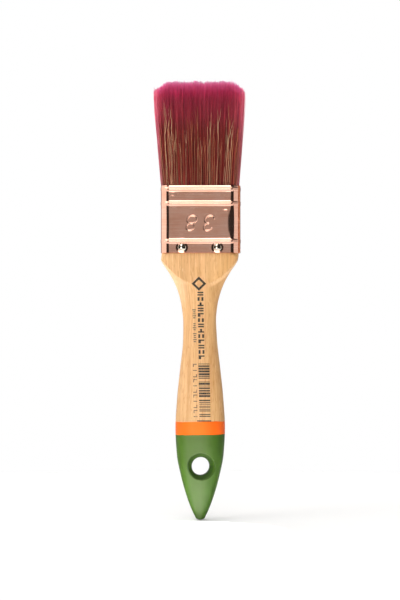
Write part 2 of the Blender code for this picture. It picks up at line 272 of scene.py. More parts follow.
def build_handle():
    count = 168
    rings = []
    t = np.linspace(0, 2 * np.pi, count, endpoint=False)
    c, s = np.cos(t), np.sin(t)

    def ring(a, b, p, z, top=None):
        y = np.abs(s) ** (2 / p) * (b if top is None else top)
        return np.stack([a * np.sign(c) * np.abs(c) ** (2 / p), np.sign(s) * np.minimum(y, b), np.full(count, z)], 1)

    z0 = STATIONS[0, 0]
    for share in (0.12, 0.3, 0.5, 0.68, 0.82, 0.92, 0.975):
        rings.append(ring(half_w(z0) * share, half_d(z0) * share, 2.0 + 0.1 * share, z0 * (1 - math.sqrt(1 - share**2))))
    zs = np.concatenate([np.linspace(z0, 111.0, 170), np.linspace(111.4, 127.2, 56)])
    for z in zs:
        rings.append(ring(half_w(z), half_d(z), power(z), z, crown(z)))
    for z, n in ((128.2, 0.0), (133, 0.0), (137.6, 0.0), (138.6, 0.35), (139.0, 0.9)):
        rings.append(ring(18.3 - n, 6.25 - n, 6.0, z))
    v = np.concatenate(rings)
    m = len(rings)
    i = np.arange(count)
    quads = []
    for r in range(m - 1):
        a, b = r * count + i, r * count + (i + 1) % count
        quads.append(np.stack([a, b, b + count, a + count], 1))
    quads = np.concatenate(quads)
    # caps: fans to a centre point
    v = np.concatenate([v, [[0, 0, 0.0], [0, 0, 139.0]]])
    low, high = len(v) - 2, len(v) - 1
    top = (m - 1) * count
    tris = np.concatenate([np.stack([(i + 1) % count, i, np.full(count, low)], 1),
                           np.stack([top + i, top + (i + 1) % count, np.full(count, high)], 1)])
    ob = quads_object("handle_fine", v, quads, tris)

    # the hanging hole: a bore with a steep countersink at each face, drilled a few degrees off square
    face = 5.28
    lean = math.radians(7.0)
    depth = [(-3.5, 6.68), (0.0, 6.58), (0.7, 6.42), (1.1, 6.14), (1.5, 5.72), (1.9, 5.30), (2.3, 4.92), (2.7, 4.62), (3.1, 4.42), (3.5, 4.33), (4.2, 4.30)]
    prof = [(0.0, face - depth[0][0])] + [(r, face - q) for q, r in depth]
    prof += [(r, -z) for r, z in reversed(prof)]
    me = bpy.data.meshes.new("bore_tool")
    bm = bmesh.new()
    vs = [bm.verts.new((r * MM, 0, z * MM)) for r, z in prof]
    for a, b in zip(vs, vs[1:]):
        bm.edges.new((a, b))
    bm.to_mesh(me)
    bm.free()
    tool = link(bpy.data.objects.new("bore_tool", me))
    sc = tool.modifiers.new("turn", "SCREW")
    sc.angle, sc.steps, sc.render_steps, sc.use_merge_vertices, sc.merge_threshold = 2 * math.pi, 120, 120, True, 1e-6
    tool.rotation_euler = (math.pi / 2, 0, lean)
    tool.location = (0.10 * MM, 0, HOLE_Z * MM)
    b = ob.modifiers.new("bore", "BOOLEAN")
    b.operation, b.solver, b.object = "DIFFERENCE", "EXACT", tool
    bpy.context.view_layer.update()
    dg = bpy.context.evaluated_depsgraph_get()
    done = bpy.data.meshes.new_from_object(ob.evaluated_get(dg), depsgraph=dg)
    ob.modifiers.clear()
    old, ob.data = ob.data, done
    bpy.data.meshes.remove(old)
    bpy.data.objects.remove(tool)
    done.shade_smooth()
    # true normals from the shape itself, so that the cut leaves no shading marks
    co = np.zeros(len(done.vertices) * 3)
    done.vertices.foreach_get("co", co)
    co = co.reshape(-1, 3) / MM
    no = np.zeros(len(done.vertices) * 3)
    done.vertices.foreach_get("normal", no)
    no = no.reshape(-1, 3)
    x, y, z = co.T

    def field(x, y, z):
        p = power(z)
        round_part = (np.abs(x / half_w(z)) ** p + np.abs(y / crown(z)) ** p) ** (1 / p)
        return np.maximum(round_part, np.abs(y / half_d(z)))

    e = 0.12
    g = np.stack([field(x + e, y, z) - field(x - e, y, z), field(x, y + e, z) - field(x, y - e, z),
                  field(x, y, z + e) - field(x, y, z - e)], 1)
    g /= np.linalg.norm(g, axis=1, keepdims=True) + 1e-12
    # distances measured in the drill's own frame
    along = (x - 0.10) * math.sin(lean) - y * math.cos(lean)
    across = (x - 0.10) * math.cos(lean) + y * math.sin(lean)
    rho = np.hypot(across, z - HOLE_Z)
    outer = (z > 2.0) & (z < 126.0) & (rho > 6.70)
    no[outer] = g[outer]
    q = face - np.abs(along)
    dq, dr = np.array([d for d, _ in depth]), np.array([r for _, r in depth])
    wall = np.interp(q, dq, dr)
    slope = np.interp(q, dq, np.gradient(dr, dq))
    radial = np.stack([across / (rho + 1e-9), np.zeros_like(x), (z - HOLE_Z) / (rho + 1e-9)], 1)
    radial = np.stack([radial[:, 0] * math.cos(lean), radial[:, 0] * math.sin(lean), radial[:, 2]], 1)
    axis = np.array([math.sin(lean), -math.cos(lean), 0.0])
    n_in = -radial - slope[:, None] * np.sign(along)[:, None] * axis
    n_in /= np.linalg.norm(n_in, axis=1, keepdims=True) + 1e-12
    use = (z > 2.0) & (rho <= 6.70) & (np.abs(rho - wall) < 0.05)
    no[use] = n_in[use]
    edge = use & (np.abs(field(x, y, z) - 1) < 0.01)
    no[edge] = n_in[edge] * 0.55 + g[edge] * 0.45
    co[:, 0] += sway(z)
    done.vertices.foreach_set("co", (co * MM).ravel())
    done.update()
    done.normals_split_custom_set_from_vertices(no.tolist())
    return ob


handle = build_handle()
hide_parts("handle")
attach(handle, "brush")


def paint_edges(m):
    """Level of the dipped coats' edge at each point: height less a slight tilt across the handle and a small wobble;
    the masks below the green and orange lines are read off it.
    """
    x, y, z = m.xyz()
    n = m.noise(m.mapped((160, 160, 160)), detail=2.0)
    n2 = m.noise(m.mapped((900, 900, 300), offset=(3, 1, 2)), detail=2.0)
    lift = m.math("MULTIPLY_ADD", n, 0.0007, -0.00035)
    fuzz = m.math("MULTIPLY_ADD", n2, 0.00016, -0.00008)
    tilt = m.math("MULTIPLY_ADD", x, 0.014, 0.0)
    level = m.math("SUBTRACT", m.math("SUBTRACT", z, tilt), m.math("ADD", lift, fuzz))
    return level


def wood_material():
    m = Nodes("beech_varnished")
    x, y, z = m.xyz()
    # long wandering fibre direction: shear x a little with z, more on the right of the neck
    drift = m.noise(m.mapped((35, 35, 14), offset=(1.7, 0.3, 0.2)), detail=1.0)
    shifted = m.new("ShaderNodeCombineXYZ")
    m.wire(m.math("MULTIPLY_ADD", drift, 0.010, x), shifted.inputs[0])
    m.wire(y, shifted.inputs[1])
    m.wire(z, shifted.inputs[2])
    v = shifted.outputs[0]
    broad = m.noise(m.mapped((150, 110, 9), source=v), detail=2.0, roughness=0.5)
    grain = m.noise(m.mapped((1150, 900, 26), source=v, offset=(0.4, 0, 0.7)), detail=4.0, roughness=0.65)
    fine = m.noise(m.mapped((3200, 3200, 60), source=v), detail=3.0, roughness=0.6)
    fleck = m.noise(m.mapped((2300, 1500, 330), source=v, offset=(5, 2, 9)), detail=1.0, roughness=0.4)
    fleck_big = m.noise(m.mapped((1250, 900, 150), source=v, offset=(1, 7, 4)), detail=1.0, roughness=0.4)
    tone = m.math("ADD", m.math("MULTIPLY", broad, 0.30), m.math("ADD", m.math("MULTIPLY", grain, 0.46), m.math("MULTIPLY", fine, 0.24)))
    base = m.ramp(tone, [(0.38, (0.655, 0.348, 0.140)), (0.455, (0.745, 0.418, 0.180)), (0.52, (0.815, 0.482, 0.220)), (0.585, (0.88, 0.556, 0.275))])
    # short ray flecks of beech, darker and redder
    f1 = m.span(fleck, 0.60, 0.70, 0.0, 0.50, smooth=True)
    f2 = m.span(fleck_big, 0.64, 0.74, 0.0, 0.30, smooth=True)
    base = m.mix(f1, base, (0.60, 0.27, 0.085), "MIX")
    base = m.mix(f2, base, (0.70, 0.36, 0.13), "MIX")
    # light pores
    light = m.span(m.noise(m.mapped((2600, 2000, 240), source=v, offset=(9, 4, 1)), detail=1.0), 0.64, 0.74, 0.0, 0.35, smooth=True)
    base = m.mix(light, base, (0.95, 0.70, 0.42), "MIX")
    # darker towards the bottom of the handle and lighter towards the head; the right half is darkened as painted shade
    shade = m.math("MULTIPLY", m.span(z, 0.047, 0.128, 0.715, 1.19), m.span(x, 0.001, 0.013, 1.0, 0.90))
    base = m.mix(1.0, base, shade, "MULTIPLY")
    girth = m.ramp(m.span(z, 0.0, 0.128), [(h / 128.0, (w / 20.0,) * 3) for h, w in STATIONS[:, :2]])
    across = m.span(m.math("DIVIDE", x, m.math("MULTIPLY", girth, 0.020)), -1.0, 1.0)
    # painted light and shade across the handle: the left side a little cooler and brighter, the right side darker and
    # more saturated, as lit from the left
    base = m.mix(1.0, base, m.ramp(across, [(0.0, (1.0, 1.0, 1.03)), (0.40, (1.0, 1.0, 1.02)), (0.62, (0.975, 0.96, 0.94)), (0.86, (1.0, 0.935, 0.80)), (1.0, (0.98, 0.94, 0.86))]), "MULTIPLY")
    # below the crease of the shoulders, painted light and shade: the left slope is painted paler as if lit, the right
    # slope gets a painted highlight just under the crease and painted shade beyond it
    beyond = m.math("SUBTRACT", m.math("MULTIPLY_ADD", m.math("MULTIPLY", x, x), 37.0, 0.1126), z)
    below_crease = m.math("MULTIPLY", m.span(beyond, -0.0003, 0.0004, 0.0, 1.0, smooth=True), m.math("MULTIPLY", m.span(z, 0.098, 0.110, 0.0, 1.0, smooth=True), m.span(z, 0.1262, 0.1272, 1.0, 0.0)))
    lit_left_shoulder = m.math("MULTIPLY", below_crease, m.span(x, -0.004, -0.0085, 0.0, 1.0, smooth=True))
    base = m.mix(m.math("MULTIPLY", lit_left_shoulder, 0.42), base, (0.98, 0.66, 0.40))
    side = m.math("MULTIPLY", below_crease, m.span(x, 0.0035, 0.0065, 0.0, 1.0, smooth=True))
    # painted highlight on the right slope just under the crease
    base = m.mix(m.math("MULTIPLY", m.math("MULTIPLY", side, m.span(beyond, 0.0012, 0.0022, 1.0, 0.0, smooth=True)), 0.35), base, (0.98, 0.66, 0.38))
    # painted shade on the right slope further from the crease, varied with the drift noise
    base = m.mix(m.math("MULTIPLY", m.math("MULTIPLY", side, m.span(beyond, 0.0012, 0.0024, 0.0, 1.0, smooth=True)), m.span(drift, 0.35, 0.65, 0.25, 0.60)), base, (0.50, 0.255, 0.095))
    level = paint_edges(m)
    green_mask = m.span(level, 0.04094, 0.04104, 1.0, 0.0)
    orange_mask = m.span(level, 0.04724, 0.04735, 1.0, 0.0)
    blotch = m.noise(m.mapped((260, 260, 160)), detail=3.0)
    # the orange and green coats are painted lighter and less saturated left of the middle and darker at the edges, most
    # on the right: painted highlight and painted shade
    orange = m.ramp(across, [(0.04, (0.84, 0.112, 0.000)), (0.20, (0.86, 0.122, 0.001)), (0.34, (0.90, 0.148, 0.012)), (0.55, (0.90, 0.140, 0.006)), (0.74, (0.80, 0.110, 0.000)), (0.92, (0.75, 0.103, 0.000))])
    green = m.ramp(across, [(0.03, (0.040, 0.096, 0.002)), (0.12, (0.042, 0.100, 0.003)), (0.24, (0.064, 0.114, 0.022)), (0.52, (0.069, 0.115, 0.028)), (0.64, (0.057, 0.106, 0.015)), (0.78, (0.034, 0.084, 0.002)), (0.96, (0.028, 0.074, 0.001))])
    orange = m.mix(m.span(blotch, 0.35, 0.7, 0.0, 0.12), orange, (1.0, 0.18, 0.02))
    green = m.mix(m.span(blotch, 0.35, 0.7, 0.0, 0.12), green, (0.09, 0.19, 0.03))
    # painted shade: the green coat darkens inside the hanging hole's bore and countersink
    away = m.math("SQRT", m.math("ADD", m.math("POWER", m.math("SUBTRACT", x, 0.0001), 2.0), m.math("POWER", m.math("SUBTRACT", z, HOLE_Z * MM), 2.0)))
    green = m.mix(m.span(away, 0.0060, 0.0066, 0.72, 0.0, smooth=True), green, (0.014, 0.044, 0.001))
    colour = m.mix(orange_mask, base, orange)
    colour = m.mix(green_mask, colour, green)
    # gloss: satin varnish over wood, a little more shine on the paint
    smudge = m.noise(m.mapped((420, 420, 130)), detail=4.0)
    rough_wood = m.span(smudge, 0.3, 0.75, 0.40, 0.52)
    rough_paint = m.span(smudge, 0.3, 0.75, 0.40, 0.48)
    rough = m.new("ShaderNodeMix", data_type="FLOAT")
    m.wire(orange_mask, rough.inputs[0])
    m.wire(rough_wood, rough.inputs[2])
    m.wire(rough_paint, rough.inputs[3])
    relief = m.math("ADD", m.math("MULTIPLY", grain, 0.6), m.math("MULTIPLY", fine, 0.4))
    relief = m.math("MULTIPLY", relief, m.math("SUBTRACT", 1.0, m.math("MULTIPLY", orange_mask, 0.9)))
    step1 = m.span(level, 0.0471, 0.0475, 1.0, 0.0, smooth=True)
    step2 = m.span(level, 0.0408, 0.0412, 1.0, 0.0, smooth=True)
    peel = m.math("MULTIPLY", m.noise(m.mapped((700, 700, 500)), detail=2.0), m.math("MULTIPLY", orange_mask, 0.25))
    n = m.bump(relief, 0.00006, 0.7)
    n = m.bump(m.math("ADD", m.math("ADD", step1, step2), peel), 0.00011, 1.0, n)
    return m.set(Base_Color=colour, Roughness=rough.outputs[0], Normal=n, Specular_IOR_Level=0.27)


handle.data.materials.clear()
handle.data.materials.append(wood_material())


# ------------------------------------------------------------------ the ferrule
BASE_HALF_W, BASE_HALF_D, CORNER = 18.77, 7.0, 4.25
LAP = 0.62
BEADS = (133.62, 151.65, 158.50)
BEAD_HALF = 1.08
NAILS = [(sx * 8.5, sy, 130.6) for sy in (-1, 1) for sx in (-1, 1)]


def digit_strokes():
    """The size number 38, as polylines in millimetres about its centre, upright, slanted."""
    def arc(cx, cy, rx, ry, a0, a1, n=14):
        a = np.radians(np.linspace(a0, a1, n))
        return np.stack([cx + rx * np.cos(a), cy + ry * np.sin(a)], 1)

    three = [np.concatenate([arc(-4.4, 1.75, 2.05, 1.75, 160, -88), arc(-4.4, -1.75, 2.3, 1.8, 88, -160)])]
    eight = [arc(4.0, 1.75, 1.9, 1.7, 0, 360, 30), arc(4.0, -1.75, 2.3, 1.85, 0, 360, 32)]
    out = []
    for line in three + eight:
        line = line.copy()
        line[:, 0] += 0.22 * line[:, 1]       # slant
        out.append(line)
    return out


def stroke_distance(px, pz, lines):
    best = np.full(px.shape, 1e9)
    for line in lines:
        for (x0, z0), (x1, z1) in zip(line[:-1], line[1:]):
            dx, dz = x1 - x0, z1 - z0
            L = dx * dx + dz * dz
            if L < 1e-9:
                continue
            t = np.clip(((px - x0) * dx + (pz - z0) * dz) / L, 0, 1)
            best = np.minimum(best, np.hypot(px - x0 - t * dx, pz - z0 - t * dz))
    return best


def perimeter():
    """Points, outward normals and turn angle (0 = front, 90 = +X side, 180 = back, 270 = -X side) round the sheet, seen
    from above going front -> +X -> back -> -X, fine where the size mark and the lap lie."""
    a, d, r = BASE_HALF_W, BASE_HALF_D, CORNER
    pts = []

    def straight(x0, y0, x1, y1, n, ang, clustered=None):
        t = np.linspace(0, 1, n, endpoint=False) if clustered is None else clustered
        for k in t:
            pts.append((x0 + (x1 - x0) * k, y0 + (y1 - y0) * k, ang))

    # front: fine in the middle, from -X to +X
    fx = np.unique(np.concatenate([np.arange(-(a - r), -10.9, 0.42), np.arange(-10.9, -8.2, 0.22), np.arange(-8.2, 8.2, 0.13),
                                   np.arange(8.2, 10.9, 0.22), np.arange(10.9, a - r - 0.1, 0.42)]))
    for x in fx:
        pts.append((x, -d, 0.0))

    def corner(cx, cy, a0, a1, n, extra=()):
        angs = sorted(set(list(np.linspace(a0, a1, n))) | set(extra))
        for ang in angs[:-1]:
            t = math.radians(ang)
            pts.append((cx + r * math.sin(t), cy - r * math.cos(t), ang))

    corner(a - r, -(d - r), 0.0, 90.0, 21, extra=(LAP_AT - 2.0, LAP_AT - 1.0, LAP_AT - 0.25, LAP_AT + 0.25))
    for y in np.linspace(-(d - r), d - r, 9, endpoint=False):
        pts.append((a, y, 90.0))
    corner(a - r, d - r, 90.0, 180.0, 19)
    bx = np.unique(np.concatenate([np.arange(-(a - r), -10.9, 0.42), np.arange(-10.9, -6.1, 0.22), np.arange(-6.1, 6.1, 0.42),
                                   np.arange(6.1, 10.9, 0.22), np.arange(10.9, a - r - 0.1, 0.42)]))
    for x in -bx:
        pts.append((x, d, 180.0))
    corner(-(a - r), d - r, 180.0, 270.0, 19)
    for y in np.linspace(d - r, -(d - r), 9, endpoint=False):
        pts.append((-a, y, 270.0))
    corner(-(a - r), -(d - r), 270.0, 360.0, 19)
    return np.array(pts)


LAP_AT = 72.0


def build_ferrule():
    ring = perimeter()
    ang = np.radians(ring[:, 2])
    nx, ny = np.sin(ang), -np.cos(ang)
    rows = np.unique(np.round(np.concatenate(
        [np.arange(FERRULE_BOTTOM, FERRULE_TOP, 0.5), [FERRULE_TOP],
         np.arange(138.4, 146.2, 0.14), np.arange(FERRULE_BOTTOM, 133.0, 0.24)]
        + [np.arange(c - BEAD_HALF - 0.12, c + BEAD_HALF + 0.13, 0.13) for c in BEADS]), 3))
    rows = rows[(rows >= FERRULE_BOTTOM) & (rows <= FERRULE_TOP)]
    keep = [rows[0]]
    for z in rows[1:]:
        if z - keep[-1] > 0.085:
            keep.append(z)
    keep[-1] = FERRULE_TOP
    rows = np.array(keep)
    n, m = len(ring), len(rows)
    X = np.tile(ring[:, 0], (m, 1))
    Y = np.tile(ring[:, 1], (m, 1))
    NX, NY = np.tile(nx, (m, 1)), np.tile(ny, (m, 1))
    Z = np.repeat(rows[:, None], n, 1)
    flat = np.abs(NY) ** 6                       # 1 on the broad faces, 0 on the narrow ones
    h = np.zeros_like(X)
    # three rolled beads: two facets and a narrow crest, lower on the narrow sides
    for k, c in enumerate(BEADS):
        t = np.abs(Z - c - 0.05 * wobble(X * 0.12, 10 + k)) / BEAD_HALF
        ridge = np.clip(1 - (np.sqrt(t * t + 0.006) - 0.077), 0, 1)
        broad = smoothstep(0.90, 0.995, np.abs(NY))
        h += (0.20 + 0.20 * broad) * ridge - (0.13 - 0.09 * broad) * np.exp(-((t * BEAD_HALF / 0.14) ** 2))
    # each panel bulges a little between its beads, more towards its middle
    edge = np.clip(1 - (np.abs(X) / (BASE_HALF_W - 1.0)) ** 2, 0, 1)
    for lo, hi, amount in ((134.9, 150.5, 0.16), (153.0, 157.4, 0.05), (FERRULE_BOTTOM, 132.4, 0.03)):
        u = np.clip((Z - lo) / (hi - lo), 0, 1)
        h += flat * amount * np.sin(np.pi * u) * edge
    # hand-made unevenness and a few small dents
    u = np.clip((Z - 134.9) / (150.5 - 134.9), 0, 1)
    h -= flat * (NY < 0) * 0.24 * smoothstep(12.9, 16.4, X) * np.sin(np.pi * u) ** 0.6
    h += flat * 0.006 * wobble(X * 0.5 + Z * 0.15, 3) + flat * 0.005 * wobble(Z * 0.5 - X * 0.1, 4)
    for dx, dz, r, depth, side in ((-12.9, 156.2, 1.0, 0.10, -1), (12.4, 149.4, 0.9, 0.10, -1), (-8.2, 136.0, 1.3, 0.08, -1),
                                   (13.4, 156.1, 1.5, 0.07, -1), (6.0, 146.0, 1.6, 0.07, 1), (-9.5, 140.2, 1.2, 0.08, 1)):
        on = (NY * side > 0.7)
        h -= np.where(on, depth * np.exp(-(((X - dx) / (1.6 * r)) ** 2 + ((Z - dz) / r) ** 2)), 0)
    # the sheet is drawn in under each nail, with a raised lip round the dent
    for sx, sy, sz in NAILS:
        d = np.hypot(X - sx, Z - sz)
        on = NY * sy > 0.7
        h -= np.where(on, 0.20 * np.exp(-((d / 2.30) ** 4)) - 0.02 * np.exp(-(((d - 3.0) / 0.5) ** 2)) + 0.07 * np.exp(-(((X - sx + 1.9) / 0.7) ** 2 + ((Z - sz) / 1.6) ** 2)), 0)
    # the size mark, struck in upside down
    lines = digit_strokes()
    near = (NY < -0.9) & (np.abs(X) < 9.0) & (np.abs(Z - 142.2) < 4.6)
    d = np.full(X.shape, 1e9)
    d[near] = stroke_distance(-(X[near] - 0.0), -(Z[near] - 142.2), lines)
    h -= 0.17 * np.clip(1 - (d / 0.34) ** 2, 0, 1)
    # lap seam on the +X side: the outer end of the sheet lies over the inner end and settles back on it behind
    deg = np.tile(ring[:, 2], (m, 1))
    lap = np.where((deg > LAP_AT) & (deg < 181), LAP * (1 - smoothstep(100, 168, deg)), 0)
    h -= 0.04 * np.exp(-(((deg - (LAP_AT - 0.2)) / 2.0) ** 2)) * (deg < LAP_AT)
    along = np.tile(ring[:, 1], (m, 1))
    lap = np.where(deg == 90.0, LAP * (1 - 0.25 * smoothstep(-2.7, 2.7, along)), lap)
    lap = np.where((deg > 90) & (deg < 181), LAP * 0.75 * (1 - smoothstep(92, 172, deg)), lap)
    h += lap
    # the edges of the sheet are eased over
    ease = 0.03 * np.exp(-(Z - FERRULE_BOTTOM) / 0.20) + 0.12 * np.exp(-(FERRULE_TOP - Z) / 0.18)
    h -= ease
    OX, OY = X + NX * h, Y + NY * h
    outer = np.stack([OX, OY, Z], 2).reshape(-1, 3)
    # inside of the sheet, plain
    inner_rows = np.array([FERRULE_TOP, 150.0, 138.0, FERRULE_BOTTOM])
    inner = []
    for z in inner_rows:
        inner.append(np.stack([ring[:, 0] - nx * SHEET, ring[:, 1] - ny * SHEET, np.full(n, z)], 1))
    inner = np.concatenate(inner)
    v = np.concatenate([outer, inner])
    i = np.arange(n)
    j = (i + 1) % n
    quads = []
    for r in range(m - 1):
        a = r * n
        quads.append(np.stack([a + i, a + j, a + n + j, a + n + i], 1))
    base = m * n
    top = (m - 1) * n
    quads.append(np.stack([top + i, top + j, base + j, base + i], 1))
    for r in range(len(inner_rows) - 1):
        a = base + r * n
        quads.append(np.stack([a + i, a + j, a + n + j, a + n + i], 1))
    last = base + (len(inner_rows) - 1) * n
    quads.append(np.stack([last + i, last + j, j, i], 1))
    ob = quads_object("ferrule_fine", v, np.concatenate(quads))
    ob.data.set_sharp_from_angle(angle=math.radians(50))
    return ob


ferrule = build_ferrule()
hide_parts("ferrule")
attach(ferrule, "brush")


def copper_material():
    m = Nodes("copper_plate_brushed")
    cloud = m.noise(m.mapped((90, 90, 130)), detail=4.0, roughness=0.6)
    spots = m.noise(m.mapped((520, 520, 520), offset=(4, 1, 0)), detail=3.0)
    base = m.ramp(cloud, [(0.32, (0.905, 0.455, 0.315)), (0.52, (0.955, 0.515, 0.375)), (0.68, (0.965, 0.560, 0.430))])
    tarnish = m.span(spots, 0.66, 0.80, 0.0, 0.35, smooth=True)
    base = m.mix(tarnish, base, (0.78, 0.33, 0.17))
    brush = m.noise(m.mapped((45, 45, 5200)), detail=3.0, roughness=0.7)
    long = m.noise(m.mapped((14, 14, 1500), offset=(2, 2, 2)), detail=2.0, roughness=0.6)
    lines = m.math("ADD", m.math("MULTIPLY", brush, 0.6), m.math("MULTIPLY", long, 0.4))
    base = m.mix(m.span(lines, 0.40, 0.62, 0.0, 0.30), base, (0.66, 0.33, 0.23))
    base = m.mix(m.span(m.noise(m.mapped((70, 70, 3300), offset=(7, 1, 5)), detail=1.0), 0.56, 0.70, 0.0, 0.35), base, (0.99, 0.66, 0.52))
    rough = m.math("ADD", m.span(lines, 0.35, 0.65, 0.06, 0.11), m.span(cloud, 0.3, 0.7, 0.0, 0.03))
    n = m.bump(lines, 0.000006, 1.0)
    n = m.bump(m.noise(m.mapped((160, 160, 420)), detail=2.0), 0.000012, 0.6, n)
    x, y, z = m.xyz()
    # painted shade on the step of the lap seam at the +X front: the colour is darker there, and the sheet's edge is
    # rougher
    cut = m.math("MULTIPLY", m.math("MULTIPLY", m.span(x, 0.01838, 0.01850), m.span(x, 0.01921, 0.01930, 1.0, 0.0)), m.span(y, -0.0038, -0.0037, 1.0, 0.0))
    base = m.mix(m.math("MULTIPLY", cut, 0.8), base, (0.80, 0.30, 0.13))
    rough = m.math("MAXIMUM", rough, m.math("MULTIPLY", cut, 0.5))
    return m.set(Base_Color=base, Metallic=1.0, Roughness=rough, Normal=n)


ferrule.data.materials.append(copper_material())


# ------------------------------------------------------------------ nails
def nail_material():
    m = Nodes("nail_nickel")
    worn = m.noise(m.mapped((900, 900, 900)), detail=3.0)
    base = m.ramp(worn, [(0.35, (0.74, 0.56, 0.42)), (0.6, (0.94, 0.84, 0.71))])
    rough = m.span(worn, 0.3, 0.7, 0.05, 0.12)
    n = m.bump(m.noise(m.mapped((900, 900, 900), offset=(2, 5, 1)), detail=1.0), 0.00003, 0.5)
    return m.set(Base_Color=base, Metallic=1.0, Roughness=rough, Normal=n)


def build_nail(name, node, x, side, z, seed):
    r = np.random.default_rng(seed)
    R, H = 1.92, 0.78
    prof = []
    crown = 0.40
    for share in np.linspace(0.05, 0.9, 14):               # a low crown, rolled over at the rim
        prof.append((R * share, H - crown * share**2))
    for a in (20, 50, 80):
        t = math.radians(a)
        prof.append((R * 0.9 + R * 0.1 * math.sin(t), (H - crown * 0.81) * math.cos(t) * 0.96 + 0.01))
    prof += [(R, -0.05), (R * 0.97, -0.16), (0.8, -0.2), (0.78, -1.0), (0.76, -2.4), (0.74, -3.7), (0.45, -4.4), (0.05, -4.95)]
    prof = [(0.02, H)] + prof
    steps = 56
    t = np.linspace(0, 2 * np.pi, steps, endpoint=False)
    rings = []
    tilt_x, tilt_z = 0.075 + r.uniform(-0.02, 0.02), 0.085 + r.uniform(-0.02, 0.02)
    for rr, hh in prof:
        px, pz = rr * np.cos(t), rr * np.sin(t)
        bulge = np.zeros(steps)
        if hh > 0.05:
            bulge = 0.008 * wobble(t * 1.0 + rr, seed + 1) * min(1, rr) + (tilt_z * pz - tilt_x * px) * min(1, hh / 0.4)
        rings.append(np.stack([x + px * (1 + 0.02 * np.sin(2 * t + seed)), side * (BASE_HALF_D - 0.30 + hh + bulge), z + pz], 1))
    v = np.concatenate(rings)
    n = steps
    i = np.arange(n)
    j = (i + 1) % n
    quads = np.concatenate([np.stack([k * n + i, k * n + j, (k + 1) * n + j, (k + 1) * n + i], 1) for k in range(len(rings) - 1)])
    v = np.concatenate([v, [[x, side * (BASE_HALF_D - 0.30 + H), z], [x, side * (BASE_HALF_D - 0.3 - 5.0), z]]])
    c0, c1 = len(v) - 2, len(v) - 1
    last = (len(rings) - 1) * n
    tris = np.concatenate([np.stack([j, i, np.full(n, c0)], 1), np.stack([last + i, last + j, np.full(n, c1)], 1)])
    if side < 0:
        quads, tris = quads[:, ::-1], tris[:, ::-1]
    ob = quads_object(name, v, quads, tris)
    ob.data.set_sharp_from_angle(angle=math.radians(45))
    ob.data.materials.append(nickel)
    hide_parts(node)
    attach(ob, "brush")
    return ob


nickel = nail_material()
for idx, (hand, face, sx, sy) in enumerate((("left", "front", -1, -1), ("right", "front", 1, -1), ("left", "back", -1, 1), ("right", "back", 1, 1))):
    build_nail("nail_%s_%s_fine" % (face, hand), "nail_%s_%s" % (face, hand), sx * 8.5, sy, 130.6, 40 + idx)


# ------------------------------------------------------------------ filaments
MOUTH = FERRULE_TOP
REACH = TIPS - MOUTH


def pack_half(z):
    """Centre shift, half width and half depth of the filament pack at height z."""
    s = np.clip((np.asarray(z, float) - MOUTH) / REACH, 0, 1)
    flare = smoothstep(-0.01, 0.03, (np.asarray(z, float) - MOUTH) / REACH)
    left = 18.25 + 0.50 * flare + 2.85 * np.minimum(1, s / 0.80) ** 1.05
    right = 18.40 + 0.26 * flare + 2.16 * np.minimum(1, s / 0.80)
    spring = smoothstep(-0.03, 0.05, (np.asarray(z, float) - MOUTH) / REACH)
    depth = 6.05 + 0.45 * spring + 0.75 * np.sin(np.pi * np.clip(s / 0.62, 0, 1)) - 2.25 * smoothstep(0.35, 1.0, s)
    return (right - left) / 2, (right + left) / 2, depth


def tip_height(u, v):
    """Where a filament at u, v of the pack ends: rounded corners, a chisel in depth, and a slightly ragged line."""
    x = u * 22.0
    corner = np.clip((np.abs(x) - 15.2) / 6.8, 0, 1)
    z = TIPS - 0.45 - np.where(x < 0, 4.6 * corner**1.65, 5.2 * corner**2.0) - 1.9 * np.abs(v) ** 2.3
    z = z + 0.32 * wobble(x * 0.55, 71) + 0.22 * wobble(x * 1.9, 72)
    z = z - 0.8 * np.exp(-(((x - 1.9) / 0.7) ** 2)) - 0.5 * np.exp(-(((x + 9.0) / 0.9) ** 2))
    return z


